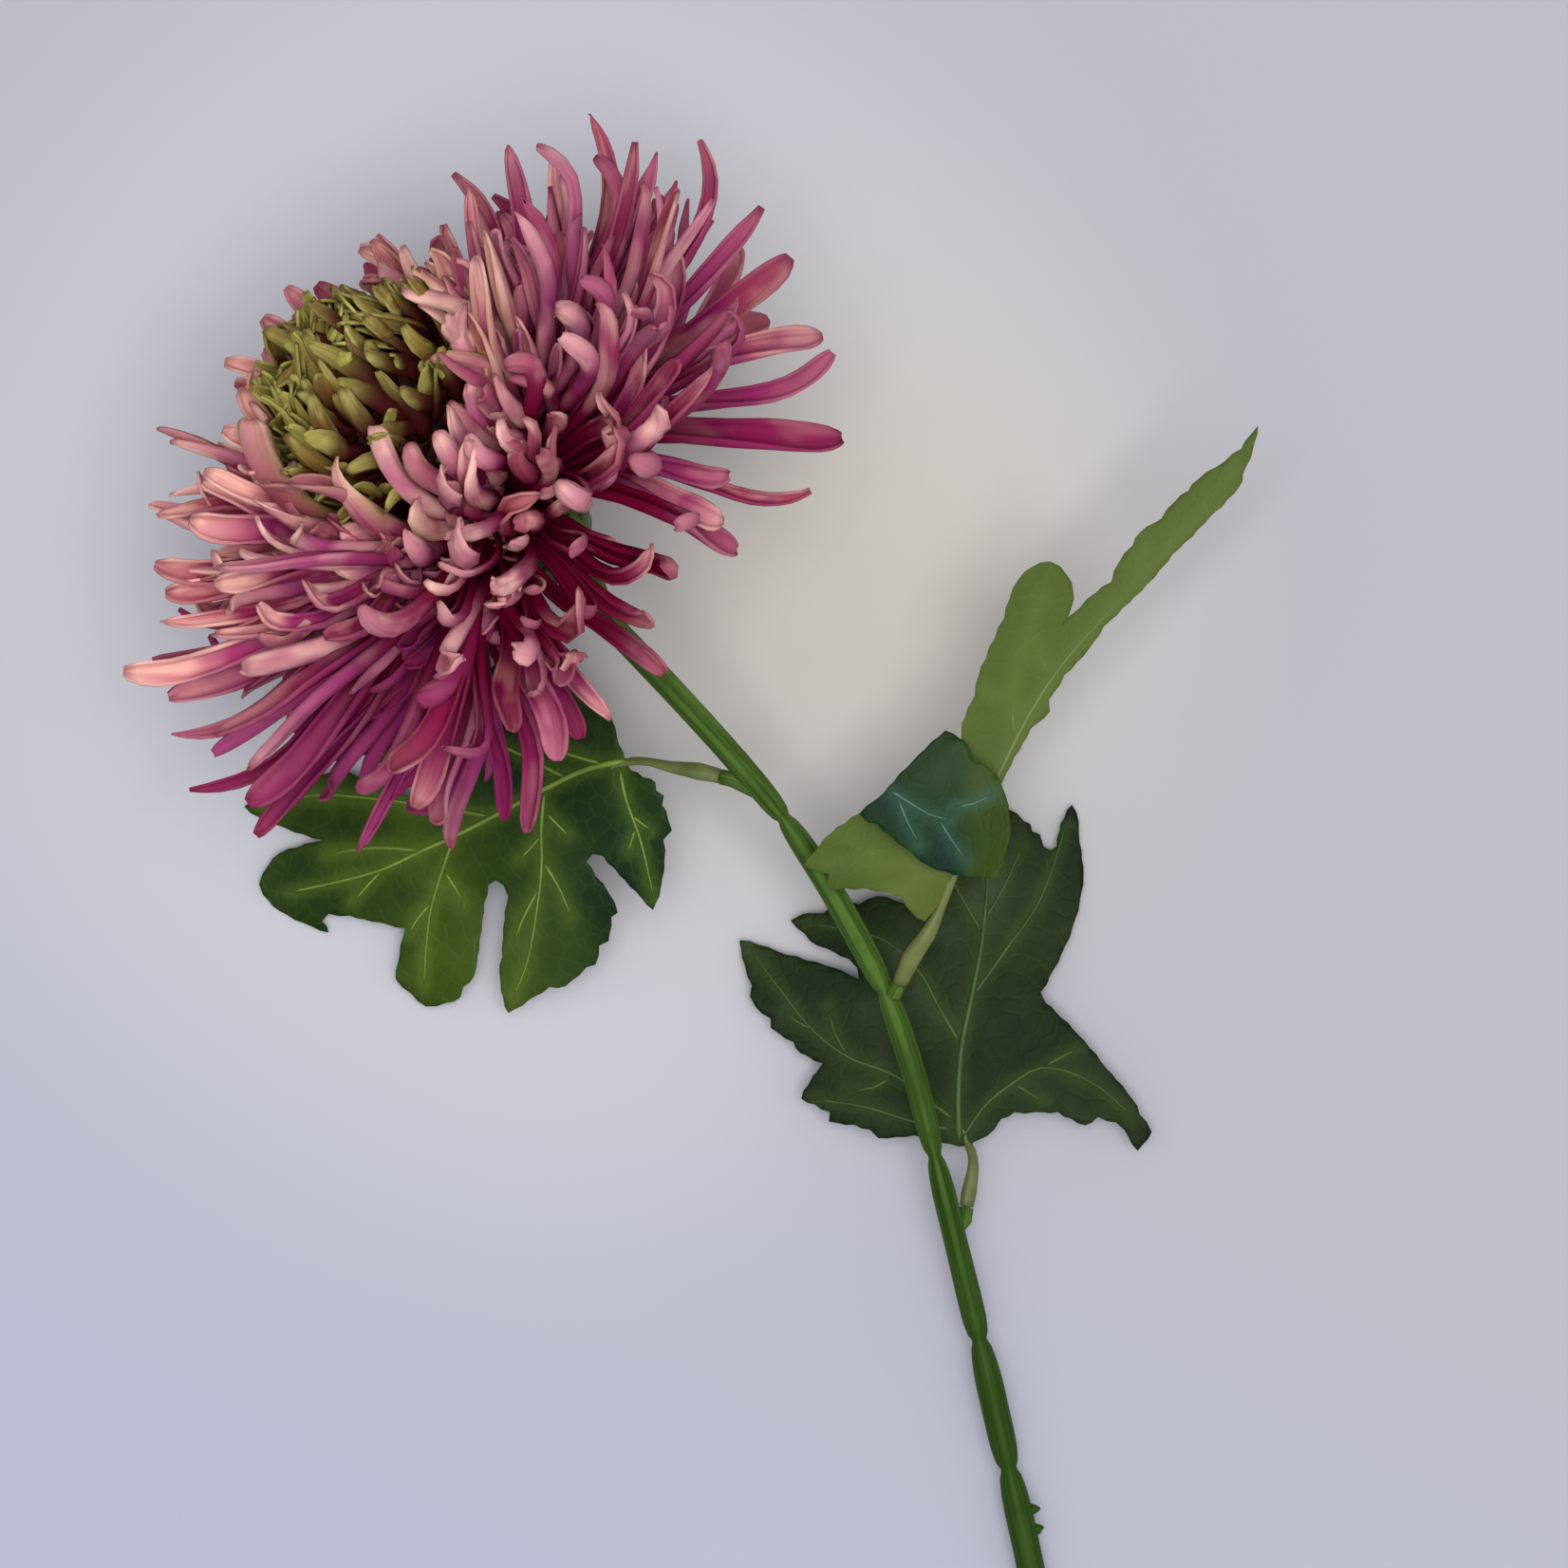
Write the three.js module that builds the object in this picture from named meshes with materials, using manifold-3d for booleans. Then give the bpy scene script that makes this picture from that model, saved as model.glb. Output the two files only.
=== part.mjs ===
// Disbud chrysanthemum: one large bloom on a cut stem with three leaves, lying on a table.
// Lengths are millimetres, Z runs up and the table's surface is Z = 0.
// X and Y are the photograph's right and up, because the camera looks straight down.

import * as THREE from 'three';
import { mergeVertices } from 'three/addons/utils/BufferGeometryUtils.js';
import Module from 'manifold-3d';

const wasm = await Module();
wasm.setup();

// Photograph to table
const PHOTO_MIDDLE = 826;
const MM_PER_PIXEL = 0.163;
const CAMERA_HEIGHT = 1000;

// Bloom
const BLOOM_PIXEL = [545, 545];
const BLOOM_HEIGHT = 56;
const BLOOM_TILT = 32;
const BLOOM_HEADING = [-0.77, 0.64];
const CORE_PROFILE = [[0, -1], [11.5, -1], [13.6, 2], [13, 7], [11.6, 11.5], [9.4, 15], [0, 16]];
const CALYX_PROFILE = [[0, -14], [3.1, -14], [4.2, -12.4], [7.6, -9], [9.4, -5.5], [9.6, -1.3], [0, -1.3]];
const CENTRE_HEIGHT = 30.5;
const CENTRE_REACH = 19.8;
const CENTRE_PROFILE = [
  [0, 16.3], [8.4, 16.3], [11, 20.5], [12.2, 26], [11.6, 32.5], [9, 37], [5, 39.4], [0, 40.2],
];

// Ray florets
const RAY_SEED = 5;
const RAY_COUNT = 128;
// Florets of the rule that would close a gap the photograph shows, and those cut shorter by a share
const RAY_LEFT_OUT = [0, 3, 5, 6, 8, 11, 13, 16, 21, 24, 29, 32, 37, 45];
const RAY_SHORTENED = new Map([
  [42, 0.76], [55, 0.93], [59, 0.74], [68, 0.95], [75, 0.9], [80, 0.8], [81, 0.84], [85, 0.84], [88, 0.84],
  [93, 0.92], [101, 0.88], [102, 0.92], [107, 0.94], [114, 0.86], [122, 0.82],
]);
const GOLDEN_ANGLE = 137.508;
const RAY_POLAR = [126, 24];
const ROOT_RADII = [11.6, 9.2];
const ROOT_HEIGHTS = [1.6, 12.4];
const RULE_STATIONS = [0, 0.3, 0.62, 0.9, 1];
const SINGLE_STATIONS = [0, 0.28, 0.55, 0.78, 0.94, 1];
const ROUND_WIDTHS = [[0, 1.6], [0.28, 3], [0.55, 4], [0.78, 4.9], [0.94, 4], [1, 0]];
const POINTED_WIDTHS = [[0, 1.6], [0.28, 3], [0.55, 4.1], [0.78, 4], [0.94, 2.3], [1, 0]];
const FLORET_THICKNESS = 1.3;
const CHANNEL_DEPTH = 1.25;

// Reach of the ray florets from the bloom's middle: polar angle in degrees, then millimetres
const SIDE_REACH = [[20, 50], [30, 56], [42, 63], [56, 67], [75, 68], [90, 65], [110, 60], [130, 54]];
const TABLE_REACH = [[20, 50], [30, 50], [45, 52], [60, 57], [75, 62], [90, 64], [110, 62], [130, 50]];
const CAMERA_REACH = [[20, 46], [35, 44], [45, 44], [60, 43], [80, 39], [100, 33], [120, 26], [130, 24]];

// Single ray florets that stand out in the photograph: the pixel of the tip, its height
// above the table, how far the tip leans to the face, the sideways swing, the width and,
// where it isn't the usual one, the angle at which the floret leaves the core
const SINGLE_FLORETS = [
  { tip: [887, 462], height: 52, lean: -8, swing: 2, width: 1.5, launch: -12 },
  { tip: [868, 353], height: 60, lean: -24, swing: 0, width: 1.35, launch: -10 },
  { tip: [875, 370], height: 44, lean: 34, swing: 4, width: 0.95, launch: -14 },
  { tip: [852, 514], height: 48, lean: 29, swing: -7, width: 0.8, launch: -23 },
  { tip: [775, 582], height: 42, lean: -12, swing: 4, width: 1.3, launch: -8 },
  { tip: [764, 552], height: 55, lean: -18, swing: -8, width: 1.25, launch: -26 },
  { tip: [656, 592], height: 70, lean: -50, swing: 6, width: 0.95 },
  { tip: [702, 708], height: 47, lean: 4, swing: -4, width: 0.95, launch: -18 },
  { tip: [644, 759], height: 60, lean: 10, swing: -14, width: 0.85, launch: -18 },
  { tip: [612, 778], height: 52, lean: 6, swing: 4, width: 1, launch: -18 },
  { tip: [585, 802], height: 64, lean: -12, swing: 12, width: 1.25 },
  { tip: [530, 865], height: 58, lean: 4, swing: -12, width: 0.9 },
  { tip: [437, 846], height: 84, lean: 4, swing: 4, width: 1.3 },
  { tip: [376, 898], height: 66, lean: 6, swing: 10, width: 0.85 },
  { tip: [270, 880], height: 56, lean: 8, swing: 6, width: 0.9 },
  { tip: [180, 775], height: 62, lean: 36, swing: -8, width: 0.89 },
  { tip: [131, 706], height: 66, lean: 22, swing: 8, width: 1.35 },
  { tip: [167, 594], height: 72, lean: 24, swing: -8, width: 1.05 },
  { tip: [537, 153], height: 66, lean: 16, swing: 0, width: 1.4 },
  { tip: [625, 120], height: 58, lean: 46, swing: 4, width: 0.85 },
  { tip: [740, 147], height: 62, lean: 58, swing: 8, width: 1.05 },
  { tip: [801, 217], height: 56, lean: 6, swing: 4, width: 1.3 },
  { tip: [829, 267], height: 66, lean: 4, swing: 6, width: 1.25 },
  { tip: [611, 300], height: 94, lean: 105, swing: 0, width: 1.1 },
  { tip: [594, 351], height: 99, lean: 70, swing: 30, width: 0.95 },
  { tip: [531, 382], height: 98, lean: 120, swing: -10, width: 1.05 },
  { tip: [498, 456], height: 97, lean: 110, swing: 30, width: 0.95 },
  { tip: [452, 460], height: 98, lean: 50, swing: 10, width: 1.1 },
  { tip: [458, 512], height: 96, lean: 40, swing: -10, width: 1 },
  { tip: [640, 492], height: 86, lean: 70, swing: -20, width: 0.9 },
  { tip: [570, 476], height: 95, lean: 60, swing: -30, width: 0.95 },
  { tip: [621, 527], height: 82, lean: 30, swing: 10, width: 1 },
  { tip: [533, 572], height: 90, lean: 50, swing: 20, width: 0.95 },
  { tip: [811, 333], height: 50, lean: -12, swing: 0, width: 1.45, launch: 10 },
  { tip: [748, 230], height: 52, lean: 0, swing: 4, width: 1 },
  { tip: [768, 502], height: 62, lean: -20, swing: 0, width: 1.15, launch: -22 },
  { tip: [672, 150], height: 60, lean: 10, swing: -4, width: 1 },
  { tip: [692, 160], height: 56, lean: 6, swing: 0, width: 1.1 },
  { tip: [713, 190], height: 58, lean: 6, swing: 0, width: 1.2 },
  { tip: [463, 238], height: 60, lean: 6, swing: 0, width: 1.15 },
  { tip: [588, 163], height: 64, lean: 16, swing: 2, width: 1.35 },
  { tip: [480, 181], height: 60, lean: 44, swing: 0, width: 0.89 },
  { tip: [305, 300], height: 60, lean: 10, swing: 0, width: 1.05 },
  { tip: [274, 341], height: 64, lean: 12, swing: 6, width: 1.3 },
  { tip: [266, 392], height: 70, lean: 6, swing: -6, width: 1 },
  { tip: [234, 453], height: 74, lean: 10, swing: 4, width: 1.2 },
  { tip: [394, 251], height: 58, lean: 8, swing: 0, width: 1.25 },
  { tip: [214, 498], height: 76, lean: 14, swing: 4, width: 1.1 },
  { tip: [203, 546], height: 74, lean: 14, swing: -2, width: 1.5 },
  { tip: [177, 623], height: 70, lean: 10, swing: -2, width: 1.3 },
  { tip: [168, 653], height: 68, lean: 30, swing: 0, width: 0.89 },
  { tip: [178, 736], height: 60, lean: 20, swing: 0, width: 1.3 },
  { tip: [200, 836], height: 60, lean: 36, swing: -4, width: 0.89 },
  { tip: [262, 846], height: 64, lean: 10, swing: 0, width: 1.4 },
];

// Centre florets
const CENTRE_SEED = 11;
const CENTRE_COUNT = 27;
const CENTRE_POLAR = [104, 14];
const CENTRE_WIDTHS = [2, 3.2, 4.2, 3.4, 0];
const CENTRE_STATIONS = [0, 0.35, 0.68, 0.9, 1];

// Stem: photograph pixel, then height above the table
const STEM_LINE = [
  [629, 643, 44], [657, 672, 41], [733, 753, 34], [789, 816, 29.6], [831, 869, 26.6], [868, 925, 24],
  [905, 990, 21.4], [935, 1050, 19.2], [961, 1125, 16.8], [983, 1210, 14.3], [1005, 1300, 11.8], [1032, 1412, 9],
  [1063, 1548, 6.2], [1086, 1652, 4.6],
];
const STEM_BEYOND = [
  [47, -160, 3], [53.5, -196, 2.45], [59, -236, 2.42], [63, -280, 2.42], [65, -325, 2.42],
];
const STEM_JOINTS = [[826, 862], [937, 1040], [985, 1218], [1032, 1412], [1063, 1548]];
const HIDDEN_JOINTS = [232, 282, 333];
const STEM_RADII = [
  [0, 2.5], [10, 2.1], [60, 2], [83, 2.15], [121, 1.95], [137, 1.98], [167, 2.33], [240, 2.4], [400, 2.5],
];
const STEM_SIDES = 10;
const STEM_RIDGE = 0.05;
const STEM_STEP = 13;
const GAP = 0.3;

// Leaf blades
const BLADE_THICKNESS = 0.9;
const BLADE_CELL = 9;
const UNDER_BLADE = 2;

const LEAF_LEFT = {
  base: [662, 803],
  tip: [271, 932],
  level: 5,
  outline: [
    [662, 803], [668, 812], [680, 819], [693, 824], [694, 833], [702, 838], [700, 848], [706, 862],
    [710, 874], [701, 884], [702, 905], [698, 935], [690, 957], [672, 938], [650, 914], [638, 901],
    [627, 899], [620, 907], [630, 922], [644, 940], [653, 960], [646, 965], [643, 990], [633, 995],
    [629, 1015], [619, 1018], [597, 1038], [580, 1039], [558, 1053], [536, 1067], [531, 1052],
    [527, 1026], [530, 1008], [533, 968], [537, 944], [532, 932], [524, 927], [516, 932], [511, 952],
    [506, 990], [500, 1028], [488, 1040], [485, 1051], [470, 1057], [448, 1061], [432, 1047],
    [416, 1032], [421, 1005], [427, 978], [400, 972], [368, 965], [345, 963], [338, 971], [345, 983],
    [318, 973], [292, 960], [275, 943], [271, 932], [281, 912], [293, 899], [312, 893], [340, 885],
    [318, 879], [292, 870], [270, 861], [255, 850], [278, 838], [302, 826], [330, 820], [358, 811],
    [378, 819], [400, 827], [422, 836], [445, 846], [430, 822], [405, 806], [380, 792], [362, 796],
    [350, 778], [344, 755], [334, 735], [330, 712], [352, 704], [372, 690], [396, 694], [415, 688],
    [440, 702], [466, 722], [492, 752], [508, 738], [516, 712], [528, 698], [532, 678], [556, 664],
    [574, 680], [592, 688], [603, 710], [620, 722], [630, 744], [648, 760], [655, 785],
  ],
  petiole: [
    [758, 818, 28.4], [735, 813, 27.6], [705, 808, 26], [684, 803, 24.6], [662, 803, 22.6], [632, 813, 20.4],
  ],
  radii: [1.25, 1.48, 0.95, 0.7, 0.7, 0.45],
  peg: [806, 838, 28.6],
};

const LEAF_FOLDED = {
  base: [1003, 924],
  tip: [1319, 453],
  level: 28,
  outline: [
    [1003, 924], [990, 950], [975, 971], [962, 963], [950, 945], [935, 940], [912, 936], [890, 936],
    [873, 937], [873, 921], [847, 912], [862, 892], [876, 877], [890, 867], [905, 857], [930, 836],
    [960, 803], [995, 770], [1012, 782], [1012, 770], [1016, 755], [1026, 733], [1030, 712],
    [1037, 695], [1046, 674], [1056, 653], [1061, 633], [1070, 613], [1084, 600], [1103, 594],
    [1114, 599], [1122, 609], [1128, 624], [1127, 640], [1118, 658], [1136, 641], [1152, 626],
    [1168, 615], [1176, 594], [1190, 577], [1198, 563], [1220, 549], [1234, 531], [1248, 520],
    [1258, 508], [1285, 490], [1302, 477], [1319, 453], [1314, 478], [1304, 503], [1300, 517],
    [1270, 548], [1232, 586], [1205, 618], [1180, 642], [1160, 662], [1145, 685], [1120, 712],
    [1104, 738], [1105, 750], [1085, 768], [1068, 798], [1050, 832], [1030, 875], [1012, 910],
  ],
  fold: [[905, 857], [995, 770]],
  flap: [
    [905, 857], [930, 836], [960, 803], [995, 770], [1016, 782], [1024, 800], [1048, 816], [1058, 838],
    [1063, 870], [1058, 900], [1048, 926], [1030, 922], [1012, 922], [996, 918], [976, 911],
    [956, 895], [938, 880], [924, 868], [914, 866],
  ],
  petiole: [
    [948, 1035, 21.2], [961, 1007, 23], [978, 983, 24.6], [990, 958, 25.6], [1003, 924, 26.6], [1022, 880, 28],
  ],
  radii: [1.35, 1.6, 1.3, 0.8, 0.8, 0.45],
  peg: [937, 1047, 19.4],
};

const LEAF_LOWER = {
  base: [1010, 1207],
  tip: [1018, 800],
  level: 4,
  outline: [
    [1010, 1207], [1000, 1204], [985, 1199], [963, 1195], [925, 1198], [916, 1189], [900, 1184],
    [873, 1181], [874, 1171], [858, 1163], [844, 1157], [852, 1142], [867, 1120], [850, 1112],
    [838, 1104], [836, 1098], [812, 1083], [812, 1073], [796, 1061], [790, 1050], [792, 1038],
    [785, 1018], [779, 991], [800, 996], [828, 1006], [850, 1012], [876, 1019], [905, 1032],
    [903, 1020], [894, 1010], [872, 1000], [860, 996], [848, 984], [833, 970], [844, 964],
    [868, 962], [888, 950], [905, 953], [925, 944], [945, 950], [962, 958], [955, 930], [948, 905],
    [950, 888], [958, 872], [968, 858], [985, 836], [1000, 822], [1018, 800], [1034, 815],
    [1047, 836], [1062, 852], [1072, 857], [1079, 865], [1086, 868], [1088, 876], [1096, 879],
    [1100, 892], [1107, 896], [1114, 892], [1117, 876], [1122, 862], [1130, 848], [1135, 856],
    [1138, 888], [1142, 922], [1138, 950], [1130, 978], [1118, 1006], [1106, 1028], [1096, 1045],
    [1101, 1056], [1118, 1072], [1136, 1090], [1165, 1125], [1193, 1158], [1200, 1173], [1213, 1192],
    [1196, 1189], [1175, 1182], [1156, 1176], [1143, 1185], [1128, 1178], [1114, 1171],
    [1090, 1171], [1068, 1171], [1054, 1178], [1047, 1189], [1030, 1200], [1018, 1206],
  ],
  petiole: [
    [1018, 1271, 9.9], [1020, 1258, 9.5], [1025, 1229, 8.8], [1024, 1216, 8.1], [1020, 1206, 7.3],
    [1012, 1180, 6.5],
  ],
  radii: [1.2, 1.35, 0.95, 0.78, 0.75, 0.45],
  peg: [1005, 1296, 11.9],
};

const radians = THREE.MathUtils.degToRad;

// Point over the table for a pixel of the photograph at a height.
function fromPhoto([px, py], height) {
  const scale = MM_PER_PIXEL * (1 - height / CAMERA_HEIGHT);
  return new THREE.Vector3((px - PHOTO_MIDDLE) * scale, (PHOTO_MIDDLE - py) * scale, height);
}

// Random numbers from 0 to 1 that are the same in every run.
function seeded(seed) {
  let state = seed >>> 0;
  return () => {
    state = (state + 0x6d2b79f5) >>> 0;
    let t = state;
    t = Math.imul(t ^ (t >>> 15), t | 1);
    t ^= t + Math.imul(t ^ (t >>> 7), t | 61);
    return ((t ^ (t >>> 14)) >>> 0) / 4294967296;
  };
}

// Value of a table of [position, value] pairs between its entries.
function lookUp(table, at) {
  if (at <= table[0][0]) return table[0][1];
  for (let i = 1; i < table.length; i += 1) {
    const [x0, y0] = table[i - 1];
    const [x1, y1] = table[i];
    if (at <= x1) return y0 + (y1 - y0) * (at - x0) / (x1 - x0);
  }
  return table[table.length - 1][1];
}

// Solids and booleans

// Geometry with shared corners, no seams and no collapsed triangles.
function weld(geometry) {
  geometry.deleteAttribute('normal');
  geometry.deleteAttribute('uv');
  const merged = mergeVertices(geometry, 1e-4);
  const kept = [];
  const index = merged.index.array;
  for (let i = 0; i < index.length; i += 3) {
    const [a, b, c] = [index[i], index[i + 1], index[i + 2]];
    if (a !== b && b !== c && c !== a) kept.push(a, b, c);
  }
  merged.setIndex(kept);
  return merged;
}

function toManifold(geometry) {
  const welded = weld(geometry);
  const mesh = new wasm.Mesh({
    numProp: 3,
    vertProperties: new Float32Array(welded.attributes.position.array),
    triVerts: new Uint32Array(welded.index.array),
  });
  return new wasm.Manifold(mesh);
}

function joinAll(solids) {
  return solids.reduce((joined, solid) => joined.add(solid));
}

// Six times the volume under a list of triangles.
function signedVolume(triangles, corner) {
  return triangles.reduce((sum, [a, b, c]) => sum + corner(a).dot(corner(b).clone().cross(corner(c))), 0);
}

// Outer skin only: a pocket that the joined florets have closed off is filled.
function outerSkin(triVerts, corner, count) {
  const parent = Array.from({ length: count }, (_, i) => i);
  const find = (i) => {
    while (parent[i] !== i) {
      parent[i] = parent[parent[i]];
      i = parent[i];
    }
    return i;
  };
  for (let i = 0; i < triVerts.length; i += 3) {
    parent[find(triVerts[i])] = find(triVerts[i + 1]);
    parent[find(triVerts[i + 1])] = find(triVerts[i + 2]);
  }
  const skins = new Map();
  for (let i = 0; i < triVerts.length; i += 3) {
    const key = find(triVerts[i]);
    if (!skins.has(key)) skins.set(key, []);
    skins.get(key).push([triVerts[i], triVerts[i + 1], triVerts[i + 2]]);
  }
  const outer = [...skins.values()].filter((skin) => signedVolume(skin, corner) > 0);
  if (outer.length !== 1) throw new Error(`a piece is in ${outer.length} bodies`);
  return outer[0];
}

function toGeometry(solid) {
  const { vertProperties, triVerts } = solid.getMesh();
  const corner = (i) => new THREE.Vector3().fromArray(vertProperties, i * 3);
  const triangles = outerSkin(triVerts, corner, vertProperties.length / 3);
  const geometry = new THREE.BufferGeometry();
  geometry.setAttribute('position', new THREE.Float32BufferAttribute(vertProperties, 3));
  geometry.setIndex(triangles.flat());
  return weld(geometry);
}

// Frames along a line of points: the tangent, a sideways direction near the reference, the normal.
function framesAlong(points, reference, twists) {
  return points.map((point, i) => {
    const before = points[Math.max(i - 1, 0)];
    const after = points[Math.min(i + 1, points.length - 1)];
    const tangent = after.clone().sub(before).normalize();
    const side = reference.clone().addScaledVector(tangent, -reference.dot(tangent)).normalize();
    side.applyAxisAngle(tangent, twists ? twists[i] : 0);
    return { point, side, normal: tangent.clone().cross(side) };
  });
}

// Solid swept along frames; the section gives sideways and normal offsets for a station and an angle.
function sweep(frames, sides, section) {
  const last = frames.length - 1;
  const geometry = new THREE.CylinderGeometry(1, 1, 1, sides, last);
  const position = geometry.attributes.position;
  for (let i = 0; i < position.count; i += 1) {
    const station = Math.round((0.5 - position.getY(i)) * last);
    const radial = Math.hypot(position.getX(i), position.getZ(i));
    const angle = Math.atan2(position.getX(i), position.getZ(i));
    const [across, up] = section(station, angle, radial > 0.5);
    const { point, side, normal } = frames[station];
    const at = point.clone().addScaledVector(side, across).addScaledVector(normal, up);
    position.setXYZ(i, at.x, at.y, at.z);
  }
  return geometry;
}

// Round tube whose radius changes along the line.
function tube(points, radii, sides, reference) {
  const frames = framesAlong(points, reference);
  return sweep(frames, sides, (station, angle, rim) => {
    const radius = rim ? radii[station] : 0;
    return [radius * Math.sin(angle), radius * Math.cos(angle)];
  });
}

// Bloom frame

const bloomMiddle = fromPhoto(BLOOM_PIXEL, BLOOM_HEIGHT);
const tilt = radians(BLOOM_TILT);
const heading = new THREE.Vector3(...BLOOM_HEADING, 0).normalize();
const bloomAxis = heading.clone().multiplyScalar(Math.cos(tilt)).setZ(Math.sin(tilt));
const bloomRight = new THREE.Vector3(-heading.y, heading.x, 0).multiplyScalar(-1);
const bloomUp = bloomRight.clone().cross(bloomAxis);

// Direction at a polar angle from the bloom's axis and an azimuth from its right side.
function bloomDirection(polar, azimuth) {
  const across = Math.sin(radians(polar));
  return bloomAxis.clone().multiplyScalar(Math.cos(radians(polar)))
    .addScaledVector(bloomRight, across * Math.cos(radians(azimuth)))
    .addScaledVector(bloomUp, across * Math.sin(radians(azimuth)));
}

function alongAxis(height) {
  return bloomMiddle.clone().addScaledVector(bloomAxis, height);
}

// Solid turned about the bloom's axis from a closed [radius, height] profile.
function turned(profile, sides) {
  const points = profile.map(([radius, height]) => new THREE.Vector2(radius, height));
  const geometry = new THREE.LatheGeometry(points, sides);
  const toAxis = new THREE.Quaternion().setFromUnitVectors(new THREE.Vector3(0, 1, 0), bloomAxis);
  return geometry.applyQuaternion(toAxis).translate(bloomMiddle.x, bloomMiddle.y, bloomMiddle.z);
}

// Stem

function stemCurve() {
  const points = [alongAxis(-14 - GAP), alongAxis(-18)];
  STEM_LINE.forEach(([px, py, height]) => points.push(fromPhoto([px, py], height)));
  STEM_BEYOND.forEach((point) => points.push(new THREE.Vector3(...point)));
  return new THREE.CatmullRomCurve3(points, false, 'centripetal');
}

const stem = stemCurve();
const stemLength = stem.getLength();

// Distance along the stem at which it passes a pixel of the photograph.
function distanceAt(pixel) {
  let best = [Infinity, 0];
  for (let along = 0; along < stemLength; along += 0.5) {
    const point = stem.getPointAt(along / stemLength);
    const gap = fromPhoto(pixel, point.z).distanceTo(point);
    if (gap < best[0]) best = [gap, along];
  }
  return best[1];
}

const jointDistances = [...STEM_JOINTS.map(distanceAt), ...HIDDEN_JOINTS];

// Each moulded length narrows into the joint and the next one starts a little wider.
function stemRadius(along) {
  const nearest = jointDistances.reduce((a, b) => (Math.abs(b - along) < Math.abs(a - along) ? b : a));
  const offset = along - nearest;
  const step = [[-7, 1], [-4, 0.96], [-1.2, 0.79], [0, 0.6], [1.2, 0.77], [4.2, 0.95], [7, 1.02], [14, 1]];
  return lookUp(STEM_RADII, along) * lookUp(step, offset);
}

function stemStations() {
  const stations = [0, 2, stemLength];
  for (let along = STEM_STEP; along < stemLength - 5; along += STEM_STEP) {
    if (jointDistances.every((joint) => Math.abs(joint - along) > 6)) stations.push(along);
  }
  jointDistances.forEach((joint) => stations.push(joint - 5, joint - 1.2, joint, joint + 1.2, joint + 4.5));
  return stations.sort((a, b) => a - b);
}

// Short peg on the stem that a leaf's sleeve is pushed up to.
function pegFor(leaf) {
  const [sleeveStart, sleeveNext] = leaf.petiole.map(([px, py, height]) => fromPhoto([px, py], height));
  const along = sleeveNext.clone().sub(sleeveStart).normalize();
  const end = sleeveStart.clone().addScaledVector(along, -GAP);
  const [px, py, height] = leaf.peg;
  const points = [fromPhoto([px, py], height), end.clone().addScaledVector(along, -2), end];
  return tube(points, [1.3, 1.35, 1.3], 6, new THREE.Vector3(0, 0, 1));
}

function stemSolid() {
  const stations = stemStations();
  const points = stations.map((along) => stem.getPointAt(along / stemLength));
  const frames = framesAlong(points, new THREE.Vector3(1, 0, 0));
  const body = sweep(frames, STEM_SIDES, (station, angle, rim) => {
    const radius = rim ? stemRadius(stations[station]) * (1 + STEM_RIDGE * Math.cos(5 * angle)) : 0;
    return [radius * Math.sin(angle), radius * Math.cos(angle)];
  });
  const pegs = [LEAF_LEFT, LEAF_FOLDED, LEAF_LOWER].map(pegFor);
  return joinAll([body, ...pegs].map(toManifold));
}

// Leaves


// Leaf-plane frame: distances along the midrib and to its left, seen from above.
function leafFrame(leaf) {
  const base = fromPhoto(leaf.base, leaf.level);
  const along = fromPhoto(leaf.tip, leaf.level).sub(base).setZ(0);
  const length = along.length();
  along.normalize();
  const left = new THREE.Vector3(-along.y, along.x, 0);
  return { base, along, left, length };
}

function inLeaf(frame, point) {
  const offset = point.clone().sub(frame.base);
  return [offset.dot(frame.along), offset.dot(frame.left)];
}

// Heights of the blades' middle surfaces over the table

const leftFrame = leafFrame(LEAF_LEFT);
const foldedFrame = leafFrame(LEAF_FOLDED);
const lowerFrame = leafFrame(LEAF_LOWER);

function leftHeight(point) {
  const [along, side] = inLeaf(leftFrame, point);
  const fall = 21 * Math.max(1 - along / 66, 0) ** 1.25;
  const droop = 0.13 * (Math.hypot(side, 4) - 4);
  const wave = 0.7 * Math.sin(along / 6.5) * Math.sin(side / 9);
  return Math.max(1.2 + fall - droop + wave, 0.45);
}

function lowerHeight(point) {
  const [along, side] = inLeaf(lowerFrame, point);
  const fall = 6.4 * Math.min(Math.max(1 - along / 64, 0), 1.1) ** 1.5 * (1 - (side / 60) ** 2);
  const arch = 2.4 * Math.sin(Math.PI * along / 64) * (1 - Math.abs(side) / 38);
  const wave = 0.5 * Math.sin(along / 5) * Math.sin(side / 8);
  return Math.max(0.6 + fall + arch + wave, 0.45);
}

function foldedHeight(point) {
  const [along, side] = inLeaf(foldedFrame, point);
  return 26.6 + 0.14 * along + 0.22 * side + 0.6 * Math.sin(along / 7) + 0.02 * (side - 8) ** 2;
}

// Vertical prism over a pixel outline.
function outlinePrism(outline, level) {
  const shape = new THREE.Shape(outline.map((pixel) => {
    const point = fromPhoto(pixel, level);
    return new THREE.Vector2(point.x, point.y);
  }));
  return new THREE.ExtrudeGeometry(shape, { depth: 90, bevelEnabled: false }).translate(0, 0, -10);
}

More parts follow.
